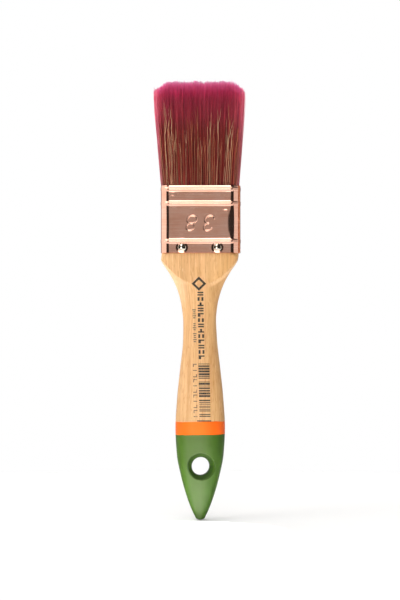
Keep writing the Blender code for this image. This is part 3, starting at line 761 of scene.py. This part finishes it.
def strands(name, u, v, z_end, radius, wave, colours, z_start=158.2, segments=13, sides=3, tip=0.3, lean=None, kin=None, fork=None):
    """One mesh of thin closed filaments. u, v: place in the pack; wave: sideways wander in mm; colours: f(share, z, x, y) -> rgb;
    kin: strands with the same number wander together; fork: how far a strand bends away near its end."""
    n = len(u)
    r = np.random.default_rng(len(name) * 97 + n)
    k = np.linspace(0, 1, segments + 1) ** 0.92
    Z = z_start[:, None] + (z_end - z_start)[:, None] * k[None, :] if np.ndim(z_start) else z_start + (z_end[:, None] - z_start) * k[None, :]
    c, w, d = pack_half(Z)
    X = c + u[:, None] * w
    Y = v[:, None] * d
    rise = np.clip((Z - MOUTH) / REACH, 0, 1.2)
    kin = np.arange(n) if kin is None else kin
    ph = r.uniform(0, 2 * np.pi, (n, 4))[kin]
    pitch = r.uniform(0.14, 0.34, (n, 2))[kin]
    amp = wave[:, None] * rise**1.1
    X = X + amp * (np.sin(Z * pitch[:, :1] + ph[:, :1]) + 0.5 * np.sin(Z * 2.3 * pitch[:, :1] + ph[:, 1:2]) + 0.24 * np.sin(Z * 5.1 * pitch[:, :1] + ph[:, 3:4]) - np.sin(MOUTH * pitch[:, :1] + ph[:, :1]) * 0.3)
    Y = Y + 0.5 * amp * np.sin(Z * pitch[:, 1:] + ph[:, 2:3])
    lean = r.normal(0, 0.010, n) if lean is None else lean
    X = X + lean[:, None] * np.maximum(Z - MOUTH, 0)
    if fork is not None:
        X = X + fork[:, None] * (np.clip((k - 0.70) / 0.30, 0, 1) ** 1.4)[None, :]
    taper = 1 - (1 - tip) * (np.clip(k - 0.72, 0, 1) / 0.28) ** 1.2
    R = radius[:, None] * taper[None, :]
    verts = np.zeros((n, segments + 1, sides, 3))
    spin = r.uniform(0, 2 * np.pi, n)
    for s in range(sides):
        a = spin + 2 * np.pi * s / sides
        verts[:, :, s, 0] = X + R * np.cos(a)[:, None]
        verts[:, :, s, 1] = Y + R * np.sin(a)[:, None]
        verts[:, :, s, 2] = Z
    per = (segments + 1) * sides
    base = (np.arange(n) * per)[:, None, None]
    kk, ss = np.meshgrid(np.arange(segments), np.arange(sides), indexing="ij")
    a = base + (kk * sides + ss)[None]
    b = base + (kk * sides + (ss + 1) % sides)[None]
    quads = np.stack([a, b, b + sides, a + sides], -1).reshape(-1, 4)
    if sides == 3:
        st = (np.arange(n) * per)[:, None]
        low = np.concatenate([st + 2, st + 1, st + 0], 1)
        high = np.concatenate([st + segments * 3, st + segments * 3 + 1, st + segments * 3 + 2], 1)
        tris = np.concatenate([low, high])
    ob = quads_object(name, verts.reshape(-1, 3), quads, tris)
    share = np.repeat(k[None, :], n, 0)
    col = colours(share, Z, X, Y)                     # (n, segments+1, 3)
    col = np.repeat(col[:, :, None, :], sides, 2).reshape(-1, 3)
    at = ob.data.color_attributes.new("tint", "FLOAT_COLOR", "POINT")
    at.data.foreach_set("color", np.concatenate([np.clip(col, 0, 1), np.ones((len(col), 1))], 1).astype(np.float32).ravel())
    return ob


def filament_material(name, rough, sheen):
    m = Nodes(name)
    a = m.new("ShaderNodeAttribute", attribute_name="tint")
    streak = m.noise(m.mapped((2600, 2600, 90)), detail=2.0)
    colour = m.mix(m.span(streak, 0.3, 0.7, 0.0, 0.24), a.outputs["Color"], (0.05, 0.008, 0.012), "MIX")
    r = m.span(streak, 0.3, 0.7, rough - 0.06, rough + 0.10)
    return m.set(Base_Color=colour, Roughness=r, Sheen_Weight=sheen, Specular_IOR_Level=0.3)


BURGUNDY = np.array((0.300, 0.026, 0.030))
DEEP = np.array((0.095, 0.008, 0.008))
WINE = np.array((0.480, 0.055, 0.062))
MAGENTA = np.array((1.000, 0.050, 0.190))
PINK = np.array((1.000, 0.150, 0.420))
# painted glow colour of the pack's outer filaments
EDGE_GLOW = np.array((1.000, 0.280, 0.400))
FRINGE = np.array((1.000, 0.360, 0.620))
# painted light colour for the lower outer filaments, a pale pink
LOW_EDGE_LIGHT = np.array((0.720, 0.400, 0.340))
BEIGE = np.array((0.700, 0.265, 0.135))
PALE = np.array((1.000, 0.560, 0.330))
RUST = np.array((0.420, 0.100, 0.050))


def lerp(a, b, t):
    return a * (1 - t) + b * t


def synthetic_tint(seed, n, patch):
    r = np.random.default_rng(seed)
    tone = np.clip(patch + r.normal(0, 0.16, n), 0, 1)
    own = lerp(lerp(DEEP[None], BURGUNDY[None], np.minimum(1, tone * 2)[:, None]), WINE[None], np.clip(tone * 2 - 1, 0, 1)[:, None])
    gain = r.uniform(0.62, 1.38, n)
    lit = r.uniform(0.42, 1.12, n)[:, None]

    def f(share, Z, X, Y):
        from_tip = TIPS - Z
        low = smoothstep(34, 14, from_tip)[..., None]
        body = own[:, None, :] * gain[:, None, None] * (0.76 + 0.24 * low) * lerp(np.array((1.16, 1.26, 0.82)), np.array((1.03, 1.12, 1.05)), low)
        t1 = (0.22 * smoothstep(26, 12, from_tip) + 0.74 * smoothstep(11.5, 2.8, from_tip))[..., None]
        c = lerp(body, MAGENTA[None, None] * gain[:, None, None] ** 0.25, t1)
        t2 = smoothstep(6.5, 0.8, from_tip)[..., None] * 0.9
        c = lerp(c, PINK[None, None], t2)
        c = lerp(c, FRINGE[None, None], smoothstep(1.9, 0.3, from_tip)[..., None] * 0.9)
        cx, w, d = pack_half(Z)
        q = np.abs(X - cx) / w
        # painted light: the outer filaments are brightened and tinted towards their tips, as if lit through from
        # behind, over a longer stretch on the right
        lift = 0.46 * smoothstep(0.70, 0.92, q) * np.where(X < cx, smoothstep(25, 9, from_tip), smoothstep(33, 12, from_tip))
        c = lerp(np.minimum(c * (1 + lift)[..., None], 1.0), EDGE_GLOW[None, None], 0.30 * lift[..., None])
        # painted glow at the pack's outer edges, strongest on the front face, on the left side and towards the tips,
        # with a random strength per filament
        facing = 0.34 + 0.66 * np.exp(-(((Y + 3.4) / 3.2) ** 2))
        rise = np.clip((Z - MOUTH) / REACH, 0, 1)
        # painted light: the lower outer filaments are lightened towards a pale pink
        c = lerp(c, LOW_EDGE_LIGHT[None, None], (0.26 * smoothstep(0.84, 0.97, q) * smoothstep(0.55, 0.10, rise))[..., None])
        # painted glow: the outermost filaments are mixed towards the glow colour
        e = (smoothstep(0.91, 0.985, q) * (0.44 + 0.52 * rise) * np.where(X < cx, 1.0, 0.72) * lit * facing)[..., None]
        return lerp(c, EDGE_GLOW[None, None], e)
    return f


def natural_tint(seed, n):
    r = np.random.default_rng(seed)
    t = r.uniform(0, 1, n)
    own = np.where((t < 0.36)[:, None], lerp(RUST, BEIGE, 0.25)[None], np.where((t < 0.66)[:, None], BEIGE[None], PALE[None]))
    own = own * r.uniform(0.8, 1.2, n)[:, None]

    def f(share, Z, X, Y):
        c = np.repeat(own[:, None, :], Z.shape[1], 1)
        return c * (0.9 + 0.3 * smoothstep(0.4, 1.0, share))[..., None]
    return f


def ring_uv(t, sink):
    """Point at share t round the pack's rounded outline, sunk by a number of millimetres, as u, v."""
    W, D = 20.5, 6.6
    a, b, r = W, D, 3.4
    sides = [2 * (a - r), np.pi / 2 * r, 2 * (b - r), np.pi / 2 * r, 2 * (a - r), np.pi / 2 * r, 2 * (b - r), np.pi / 2 * r]
    total = sum(sides)
    s = (t % 1) * total
    x, y, nx, ny = (np.zeros_like(s) for _ in range(4))
    acc = 0.0
    specs = [("l", -(a - r), -b, 1, 0, 0, -1), ("c", a - r, -(b - r), -90), ("l", a, -(b - r), 0, 1, 1, 0), ("c", a - r, b - r, 0),
             ("l", a - r, b, -1, 0, 0, 1), ("c", -(a - r), b - r, 90), ("l", -a, b - r, 0, -1, -1, 0), ("c", -(a - r), -(b - r), 180)]
    for L, sp in zip(sides, specs):
        on = (s >= acc) & (s < acc + L + 1e-9)
        q = s - acc
        if sp[0] == "l":
            x = np.where(on, sp[1] + sp[3] * q, x)
            y = np.where(on, sp[2] + sp[4] * q, y)
            nx, ny = np.where(on, sp[5], nx), np.where(on, sp[6], ny)
        else:
            ang = np.radians(sp[3]) + q / r
            x = np.where(on, sp[1] + r * np.cos(ang), x)
            y = np.where(on, sp[2] + r * np.sin(ang), y)
            nx, ny = np.where(on, np.cos(ang), nx), np.where(on, np.sin(ang), ny)
        acc += L
    return (x - nx * sink) / W, (y - ny * sink) / D, s


def build_filaments():
    made = []
    # the visible outer layers, front half and back half
    N = 2900
    t = (np.arange(N) + rng.uniform(-0.5, 0.5, N)) / N
    _, _, s = ring_uv(t, 0 * t)
    furrow = np.clip(0.5 + 0.8 * wobble(s * 2.9, 15) + 0.6 * wobble(s * 7.3, 16), 0, 1)
    sink = rng.uniform(0, 1, N) ** 1.3 * 1.0 + 0.75 * furrow**2
    u, v, s = ring_uv(t, sink)
    # filaments sunk deeper into the pack get a darker tone: painted shade
    patch = np.clip(0.66 + 0.30 * wobble(s * 2.3, 5) + 0.18 * wobble(s * 6.1, 6) - 0.30 * sink, 0, 1)
    z_end = tip_height(u, v) + rng.normal(0, 0.42, N) - 0.2 * sink
    radius = rng.uniform(0.085, 0.135, N)
    wave = np.abs(rng.normal(0.06, 0.05, N))
    synth = filament_material("filament_synthetic", 0.38, 0.0)
    for name, pick in (("filaments_front", v < 0), ("filaments_back", v >= 0)):
        f = synthetic_tint(11 if v[pick][0] < 0 else 12, int(pick.sum()), patch[pick])
        ob = strands(name, u[pick], v[pick], z_end[pick], radius[pick], wave[pick], f)
        ob.data.materials.append(synth)
        made.append(ob)
    # the inner filaments, of which only the ends show
    N = 2600
    uu = rng.uniform(-0.97, 0.97, N * 2)
    vv = rng.uniform(-0.86, 0.86, N * 2)
    ok = (np.abs(uu) ** 6 + np.abs(vv) ** 6) < 0.9
    uu, vv = uu[ok][:N], vv[ok][:N]
    n = len(uu)
    z_end = tip_height(uu, vv) + rng.normal(0, 0.30, n)
    f = synthetic_tint(21, n, np.clip(rng.normal(0.45, 0.2, n), 0, 1))
    ob = strands("filaments_inner", uu, vv, z_end, rng.uniform(0.13, 0.19, n), np.abs(rng.normal(0.05, 0.04, n)), f,
                 z_start=z_end - 17.0, segments=5)
    ob.data.materials.append(synth)
    made.append(ob)
    # natural bristle, mixed through the lower two thirds, in loose wavy wisps with split ends
    hair = filament_material("filament_natural", 0.40, 0.0)
    for name, facing, seed in (("natural_bristle_front", -1, 31), ("natural_bristle_back", 1, 32)):
        r = np.random.default_rng(seed)
        slots = np.arange(-0.965, 0.966, 0.0235)
        crowd = 0.56 + 0.55 * np.exp(-(((slots + 0.64) / 0.17) ** 2)) + 0.40 * np.exp(-(((slots - 0.02) / 0.14) ** 2)) + 0.48 * np.exp(-(((slots - 0.36) / 0.13) ** 2)) + 0.35 * np.exp(-(((slots - 0.74) / 0.12) ** 2))
        cu = slots[r.uniform(0, 1, len(slots)) < crowd]
        cu = np.clip(cu + r.normal(0, 0.006, len(cu)), -0.975, 0.975)
        n = len(cu)
        drop = 9.0 * np.exp(-(((cu + 0.34) / 0.13) ** 2))
        top = np.clip(r.normal(188.5, 6.5, n) - drop, 166, 200)
        lean = r.normal(0, 0.026, n)
        wave = np.abs(r.normal(0.34, 0.26, n)) + 0.08
        cv = facing * (1.0 + r.uniform(-0.035, 0.045, n))
        cv = cv * (1 - np.clip((np.abs(cu) - 0.84) / 0.16, 0, 1) ** 2 * 0.30)
        radius = r.uniform(0.085, 0.150, n)
        # every strand twice: the copy parts from it near the end
        part = r.uniform(0.35, 1.30, n) * r.choice([-1, 1], n)
        two = np.arange(n)[(r.uniform(0, 1, n) < 0.42) & (np.abs(cu) < 0.86)]
        part = np.where(np.abs(cu) < 0.86, part, 0.3 * part)
        pick = np.concatenate([np.arange(n), two])
        fork = np.concatenate([-0.35 * part, part[two]])
        ends = np.concatenate([top, top[two] - r.uniform(0, 2.0, len(two))])
        tint = natural_tint(seed + 5, len(pick))
        ob = strands(name, cu[pick], cv[pick], ends, radius[pick], wave[pick], tint, segments=20, tip=0.3, lean=lean[pick], kin=pick, fork=fork)
        ob.data.materials.append(hair)
        made.append(ob)
    # a few filaments standing off at the corners
    r = np.random.default_rng(57)
    su = np.array([-1.0, -0.985, -0.99, 0.99, 1.0, -0.3, 0.4, -0.7, 0.75, -0.995, -1.0, -0.99, -1.0, -0.98, 0.99])
    sv = np.array([0.2, -0.3, 0.5, -0.2, 0.4, -0.4, 0.3, 0.1, -0.1, 0.0, -0.2, 0.3, -0.4, -0.5, 0.1])
    se = np.array([208.0, 206.6, 204.9, 205.6, 203.8, TIPS - 0.1, TIPS - 0.2, TIPS - 0.25, TIPS - 0.3, 207.4, 207.7, 207.0, 206.0, 205.6, 206.6])
    f = synthetic_tint(58, len(su), np.full(len(su), 0.8))
    ob = strands("filaments_stray", su, sv, se, np.full(len(su), 0.11), np.full(len(su), 0.10), f, lean=np.array([-0.011, -0.006, -0.014, 0.008, 0.012, 0, 0.01, -0.01, 0.01, -0.010, -0.013, -0.012, -0.015, -0.009, 0.006]))
    ob.data.materials.append(synth)
    made.append(ob)
    return made


def build_core():
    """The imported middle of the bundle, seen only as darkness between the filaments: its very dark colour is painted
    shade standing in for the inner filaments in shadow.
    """
    zs = np.concatenate([np.linspace(157.8, 196, 26), np.linspace(197, 203.5, 10)])
    rings = []
    count = 96
    t = np.linspace(0, 2 * np.pi, count, endpoint=False)
    for z in zs:
        c, w, d = pack_half(z)
        p = 5.0
        fade = 1 - 0.32 * smoothstep(196, 203.5, z) ** 2
        a, b = (w - 1.15) * (1 - 0.07 * smoothstep(194, 203.5, z)), (d - 1.15) * fade
        ct, st = np.cos(t), np.sin(t)
        rough = 1 + 0.02 * wobble(t * 20, 9)
        rings.append(np.stack([c + a * np.sign(ct) * np.abs(ct) ** (2 / p), b * rough * np.sign(st) * np.abs(st) ** (2 / p), np.full(count, z)], 1))
    v = np.concatenate(rings)
    i = np.arange(count)
    j = (i + 1) % count
    quads = np.concatenate([np.stack([k * count + i, k * count + j, (k + 1) * count + j, (k + 1) * count + i], 1) for k in range(len(zs) - 1)])
    v = np.concatenate([v, [[0, 0, zs[0]], [float(pack_half(zs[-1])[0]), 0, zs[-1] + 0.3]]])
    low, high = len(v) - 2, len(v) - 1
    top = (len(zs) - 1) * count
    tris = np.concatenate([np.stack([j, i, np.full(count, low)], 1), np.stack([top + i, top + j, np.full(count, high)], 1)])
    ob = quads_object("filament_core", v, quads, tris)
    m = Nodes("filament_core_painted_shade")
    streak = m.noise(m.mapped((1700, 1700, 40)), detail=3.0, roughness=0.7)
    z = m.xyz()[2]
    # painted shade: near-black red for the shaded inside of the pack, turning dark pink towards the tips
    low = m.ramp(streak, [(0.35, (0.020, 0.003, 0.004)), (0.52, (0.075, 0.010, 0.013)), (0.66, (0.16, 0.035, 0.030))])
    colour = m.mix(m.span(z, 0.188, 0.203, 0.0, 0.85), low, (0.26, 0.015, 0.06))
    ob.data.materials.append(m.set(Base_Color=colour, Roughness=m.span(streak, 0.3, 0.7, 0.5, 0.8), Normal=m.bump(streak, 0.0003, 1.0)))
    return ob


filaments = build_filaments()
core = build_core()
for ob in [core, *filaments]:
    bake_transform(ob)
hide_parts("bristle_root_front", "bristle_root_back", "bristle_front", "bristle_back")


# ------------------------------------------------------------------ hidden pieces keep their CAD shape
def resin_material():
    m = Nodes("amber_resin")
    c = m.noise(m.mapped((240, 240, 240)), detail=4.0)
    return m.set(Base_Color=m.ramp(c, [(0.3, (0.30, 0.15, 0.035)), (0.7, (0.48, 0.28, 0.08))]), Roughness=m.span(c, 0.3, 0.7, 0.18, 0.34),
                 Normal=m.bump(c, 0.0002, 0.5))


def plug_material():
    m = Nodes("plug_poplar")
    g = m.noise(m.mapped((900, 900, 40)), detail=4.0)
    return m.set(Base_Color=m.ramp(g, [(0.3, (0.42, 0.26, 0.12)), (0.7, (0.66, 0.47, 0.27))]), Roughness=m.span(g, 0.3, 0.7, 0.6, 0.85),
                 Normal=m.bump(g, 0.0001, 0.8))


for node, mat in (("epoxy_setting", resin_material()), ("spacer_plug", plug_material())):
    ob = frame["nodes"][node]
    ob.data.materials.clear()
    ob.data.materials.append(mat)


# ------------------------------------------------------------------ printed marks on the handle
def ink_material(name, thin):
    m = Nodes(name)
    n = m.noise(m.mapped((1500, 1500, 700)), detail=3.0)
    return m.set(Base_Color=m.ramp(n, [(0.34, (0.022 * thin, 0.014 * thin, 0.010 * thin)), (0.56, (0.050 * thin, 0.032 * thin, 0.021 * thin)), (0.70, (0.15 * thin, 0.09 * thin, 0.05 * thin))]),
                 Roughness=m.span(n, 0.3, 0.7, 0.45, 0.65))


def decal(name, shapes, material):
    """Thin raised ink laid on the handle's front. shapes: list of closed outlines ((x, z) lists in mm), each cut into a fine grid of cells."""
    verts, quads = [], []
    for outline in shapes:
        (xa, za), (xb, zb), (xc, zc), (xd, zd) = outline          # four corners, in order
        nu = max(1, int(math.hypot(xb - xa, zb - za) / 0.5))
        nv = max(1, int(math.hypot(xd - xa, zd - za) / 0.5))
        base = len(verts)
        for top in (0, 1):
            for b in range(nv + 1):
                for a in range(nu + 1):
                    s, t = a / nu, b / nv
                    x = (1 - t) * ((1 - s) * xa + s * xb) + t * ((1 - s) * xd + s * xc)
                    z = (1 - t) * ((1 - s) * za + s * zb) + t * ((1 - s) * zd + s * zc)
                    verts.append((x, float(front_y(x, z)) - (0.035 if top else -0.03), z))
        row = nu + 1
        layer = row * (nv + 1)

        def q(a, b, top):
            return base + top * layer + b * row + a
        for b in range(nv):
            for a in range(nu):
                quads.append((q(a, b, 1), q(a + 1, b, 1), q(a + 1, b + 1, 1), q(a, b + 1, 1)))
                quads.append((q(a, b, 0), q(a, b + 1, 0), q(a + 1, b + 1, 0), q(a + 1, b, 0)))
        for a in range(nu):
            quads.append((q(a, 0, 0), q(a + 1, 0, 0), q(a + 1, 0, 1), q(a, 0, 1)))
            quads.append((q(a, nv, 1), q(a + 1, nv, 1), q(a + 1, nv, 0), q(a, nv, 0)))
        for b in range(nv):
            quads.append((q(0, b, 1), q(0, b + 1, 1), q(0, b + 1, 0), q(0, b, 0)))
            quads.append((q(nu, b, 0), q(nu, b + 1, 0), q(nu, b + 1, 1), q(nu, b, 1)))
    ob = mesh_object(name, verts, quads, smooth=False)
    bm = bmesh.new()
    bm.from_mesh(ob.data)
    bmesh.ops.recalc_face_normals(bm, faces=bm.faces)
    bm.to_mesh(ob.data)
    bm.free()
    ob.data.materials.append(material)
    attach(ob, "brush")
    return ob


def rect(x0, z0, x1, z1):
    return ((x0, z0), (x1, z0), (x1, z1), (x0, z1))


def bar(p, q, w):
    """Stroke from p to q of width w as four corners."""
    dx, dz = q[0] - p[0], q[1] - p[1]
    L = math.hypot(dx, dz)
    ox, oz = -dz / L * w / 2, dx / L * w / 2
    return ((p[0] - ox, p[1] - oz), (q[0] - ox, q[1] - oz), (q[0] + ox, q[1] + oz), (p[0] + ox, p[1] + oz))


def build_print():
    ink, grey = ink_material("print_ink", 1.0), ink_material("print_ink_thin", 2.6)
    r = np.random.default_rng(77)
    # a plain hollow diamond
    cx, cz, a, b = -0.4, 113.3, 3.5, 3.4
    corners = [(cx, cz + b), (cx + a, cz), (cx, cz - b), (cx - a, cz)]
    shapes = []
    for k in range(4):
        p, q = np.array(corners[k]), np.array(corners[(k + 1) % 4])
        ip, iq = np.array((cx, cz)) + (p - np.array((cx, cz))) * 0.58, np.array((cx, cz)) + (q - np.array((cx, cz))) * 0.58
        shapes.append((tuple(p), tuple(q), tuple(iq), tuple(ip)))
    decal("print_diamond", shapes, ink)

    def slope(z, top, bottom, xa, xb):
        return xa + (xb - xa) * (top - z) / (top - bottom)

    # a run of plain blocks down the neck, in place of lettering
    shapes = []
    z = 109.4
    for kind in (0, 1, 2, 0, 3, 1, 0, 2, 1, 3, 0, 1, 3):
        h, w = 1.78, 1.4
        x0 = slope(z, 109.4, 76.6, 0.30, 0.95)
        xa, xb = x0 - w, x0 + w
        if kind == 0:
            shapes += [rect(xa, z - h, xb, z - h + 0.66), rect(xa, z - 0.66, xb, z)]
        elif kind == 1:
            shapes += [rect(xa, z - h, xa + 0.95, z), rect(xb - 0.95, z - h, xb, z)]
        elif kind == 2:
            shapes += [rect(xa, z - h, xb, z - h + 0.66), rect(x0 - 0.5, z - h + 0.66, x0 + 0.5, z)]
        else:
            shapes += [rect(xa, z - 0.66, xb, z), rect(xa, z - h, x0 - 0.2, z - 0.66)]
        z -= 2.53
    decal("print_blocks", shapes, ink)
    # a row of small ticks beside it
    shapes = []
    z = 101.0
    for k in range(17):
        if k not in (5, 6, 11):
            x0 = slope(z, 101.0, 84.8, -2.7, -2.3)
            w = 0.55 if k % 3 else 0.85
            shapes.append(rect(x0 - w, z - 0.45, x0 + w, z))
        z -= 0.95
    decal("print_ticks", shapes, grey)
    # a plain barred strip, in groups
    shapes = []
    z = 75.1
    run = 0
    while z > 49.4:
        t = float(r.choice([0.30, 0.45, 0.70, 0.95]))
        g = float(r.choice([0.30, 0.42, 0.55]))
        x0 = slope(z, 75.1, 48.8, 2.0, 2.55)
        shapes.append(rect(x0 - 2.65, z - t, x0 + 2.65, z))
        z -= t + g
        run += 1
        if run % 7 == 0:
            z -= 0.85
    decal("print_bars", shapes, ink)
    decal("print_rule", [rect(-1.2, 47.45, 5.5, 48.0)], ink)
    # a column of small marks beside the strip
    shapes = []
    z = 75.0
    for k in range(11):
        x0 = slope(z, 75.0, 49.0, -2.35, -1.95)
        if k % 3 == 0:
            shapes += [rect(x0 - 0.9, z - 0.4, x0 + 0.9, z), rect(x0 - 0.9, z - 1.5, x0 - 0.5, z - 0.4)]
        elif k % 3 == 1:
            shapes += [rect(x0 - 0.9, z - 0.9, x0 + 0.9, z - 0.5)]
        else:
            shapes += [rect(x0 - 0.9, z - 1.5, x0 + 0.9, z - 1.1), rect(x0 + 0.5, z - 1.1, x0 + 0.9, z)]
        z -= 2.45
    decal("print_small_marks", shapes, grey)


build_print()

# ------------------------------------------------------------------ floor, light and camera
bm = bmesh.new()
bmesh.ops.create_circle(bm, cap_ends=True, segments=128, radius=0.33)
me = bpy.data.meshes.new("studio_floor")
bm.to_mesh(me)
bm.free()
floor = link(bpy.data.objects.new("studio_floor", me))
fm = Nodes("studio_floor_paint")
fn = fm.noise(fm.mapped((3, 3, 3)), detail=2.0)
me.materials.append(fm.set(Base_Color=fm.ramp(fn, [(0.3, (0.955, 0.955, 0.955)), (0.7, (0.975, 0.975, 0.975))]), Roughness=0.9))
floor.location = (0, 0, -0.0002)


def build_world():
    """A white studio all round, with the darker gap where the camera and its operator stand, between the soft panels."""
    w = bpy.data.worlds.new("studio")
    bpy.context.scene.world = w
    w.use_nodes = True
    nt = w.node_tree
    nt.nodes.clear()
    out = nt.nodes.new("ShaderNodeOutputWorld")
    bg = nt.nodes.new("ShaderNodeBackground")
    white = nt.nodes.new("ShaderNodeBackground")
    white.inputs["Color"].default_value = (1, 1, 1, 1)
    white.inputs["Strength"].default_value = 1.0
    mix = nt.nodes.new("ShaderNodeMixShader")
    lp = nt.nodes.new("ShaderNodeLightPath")
    tc = nt.nodes.new("ShaderNodeTexCoord")
    sep = nt.nodes.new("ShaderNodeSeparateXYZ")
    nt.links.new(tc.outputs["Generated"], sep.inputs[0])

    def math_node(op, a, b=0.0):
        n = nt.nodes.new("ShaderNodeMath")
        n.operation = op
        for i, v in enumerate((a, b)):
            if hasattr(v, "links"):
                nt.links.new(v, n.inputs[i])
            else:
                n.inputs[i].default_value = v
        return n.outputs[0]

    def span(v, a, b, c, d):
        n = nt.nodes.new("ShaderNodeMapRange")
        n.interpolation_type = "SMOOTHSTEP"
        nt.links.new(v, n.inputs["Value"])
        for k, val in zip(("From Min", "From Max", "To Min", "To Max"), (a, b, c, d)):
            n.inputs[k].default_value = val
        return n.outputs["Result"]

    x, y, z = sep.outputs
    az = math_node("MULTIPLY", math_node("ARCTAN2", x, math_node("MULTIPLY", y, -1.0)), 180 / math.pi)   # 0 is the camera's side
    el = math_node("MULTIPLY", math_node("ARCSINE", z), 180 / math.pi)
    high = math_node("ABSOLUTE", el)

    def window(v, a0, a1, b1, b0):
        """1 between a1 and b1, easing to 0 at a0 and b0."""
        return math_node("MULTIPLY", span(v, a0, a1, 0.0, 1.0), span(v, b1, b0, 1.0, 0.0))

    def blob(gain, az_win, el_win):
        return math_node("MULTIPLY", math_node("MULTIPLY", window(az, *az_win), window(el, *el_win)), gain)

    # the white tent: brighter to the left, dimmer to the right, full at the back and overhead
    level = math_node("ADD", span(az, -70, 75, 1.22, 0.88), span(el, 45, 75, 0.0, 0.45))
    level = math_node("MULTIPLY", level, math_node("SUBTRACT", 1.0, blob(0.78, (18, 36, 125, 155), (9, 16, 62, 74))))
    level = math_node("ADD", level, blob(0.30, (-400, -399, -140, -110), (0, 8, 80, 85)))
    level = math_node("ADD", level, blob(0.30, (110, 140, 399, 400), (0, 8, 80, 85)))
    # the grey wall of the room behind the tent's back opening
    behind = math_node("MULTIPLY", math_node("SUBTRACT", 1.0, window(az, -140, -118, 118, 140)), span(high, 30, 52, 1.0, 0.0))
    level = math_node("MULTIPLY", level, math_node("SUBTRACT", 1.0, math_node("MULTIPLY", behind, 0.70)))
    # the darker gap where the camera and its operator stand
    gap = math_node("MULTIPLY", window(az, -44, -41, 46, 49), span(high, 28, 34, 1.0, 0.0))
    level = math_node("MULTIPLY", level, math_node("SUBTRACT", 1.0, math_node("MULTIPLY", gap, 0.965)))
    # the key panel at the upper left, and the light bar over the camera
    level = math_node("ADD", level, blob(1.25, (-84, -72, -38, -30), (18, 25, 55, 66)))
    level = math_node("ADD", level, math_node("MULTIPLY", math_node("MULTIPLY", window(az, -10, -8, 5.5, 7.5), window(high, 10, 12, 25, 30)), 3.6))
    level = math_node("ADD", level, blob(0.42, (-24, -12, 10, 22), (28, 34, 60, 70)))
    # the camera's own grey front
    level = math_node("ADD", level, blob(0.40, (-10.5, -8.5, 6.0, 8.0), (-11, -9, 9, 11)))
    comb = nt.nodes.new("ShaderNodeCombineColor")
    for i, k in enumerate((1.0, 0.995, 0.985)):
        nt.links.new(math_node("MULTIPLY", level, k), comb.inputs[i])
    nt.links.new(comb.outputs[0], bg.inputs["Color"])
    bg.inputs["Strength"].default_value = 1.0
    nt.links.new(lp.outputs["Is Camera Ray"], mix.inputs["Fac"])
    nt.links.new(bg.outputs[0], mix.inputs[1])
    nt.links.new(white.outputs[0], mix.inputs[2])
    nt.links.new(mix.outputs[0], out.inputs["Surface"])


build_world()


def area(name, place, target, size, power, size_y=None):
    li = bpy.data.lights.new(name, "AREA")
    li.energy = power
    li.shape = "RECTANGLE"
    li.size, li.size_y = size, size_y or size
    ob = link(bpy.data.objects.new(name, li))
    ob.location = place
    ob.rotation_mode = "QUATERNION"
    ob.rotation_quaternion = (Vector(target) - Vector(place)).to_track_quat("-Z", "Y")
    ob.visible_camera = False
    return ob


area("softbox_overhead", (-0.25, -0.1, 1.3), (0, 0, 0.05), 0.9, 1.5)
for name, place, power in (("rim_left", (-0.62, 0.03, 0.22), 19.0), ("rim_right", (0.62, 0.03, 0.22), 16.0)):
    li = bpy.data.lights.new(name, "SPOT")
    li.energy, li.spot_size, li.spot_blend, li.shadow_soft_size = power, math.radians(5.6), 0.25, 0.03
    ob = link(bpy.data.objects.new(name, li))
    ob.location = place
    ob.rotation_mode = "QUATERNION"
    ob.rotation_quaternion = (Vector((0, 0, 0.188)) - Vector(place)).to_track_quat("-Z", "Y")
    ob.visible_camera = False
    ob.visible_glossy = False
card = bpy.data.lights.new("floor_card_spot", "SPOT")
card.energy, card.spot_size, card.spot_blend, card.shadow_soft_size = 12.4, math.radians(22.64), 0.30, 0.002
card_ob = link(bpy.data.objects.new("floor_card_spot", card))
card_ob.location = (-0.008, -0.054, 0.25)
card_ob.visible_camera = False
card_ob.visible_glossy = False

D = 1.15
target = Vector((-0.0001, 0.0, 0.1055))
az = math.radians(2.0)
cam_data = bpy.data.cameras.new("camera")
cam = link(bpy.data.objects.new("camera", cam_data))
cam.location = target + Vector((math.sin(az) * D, -math.cos(az) * D, 0.0))
cam.rotation_mode = "QUATERNION"
cam.rotation_quaternion = (target - cam.location).to_track_quat("-Z", "Y")
cam_data.sensor_fit = "AUTO"
cam_data.sensor_width = 36.0
cam_data.lens = 18.0 * D / (0.4805 * MM * 300)
cam_data.clip_start, cam_data.clip_end = 0.05, 100
bpy.context.scene.camera = cam
bpy.context.scene.view_settings.view_transform = "Standard"
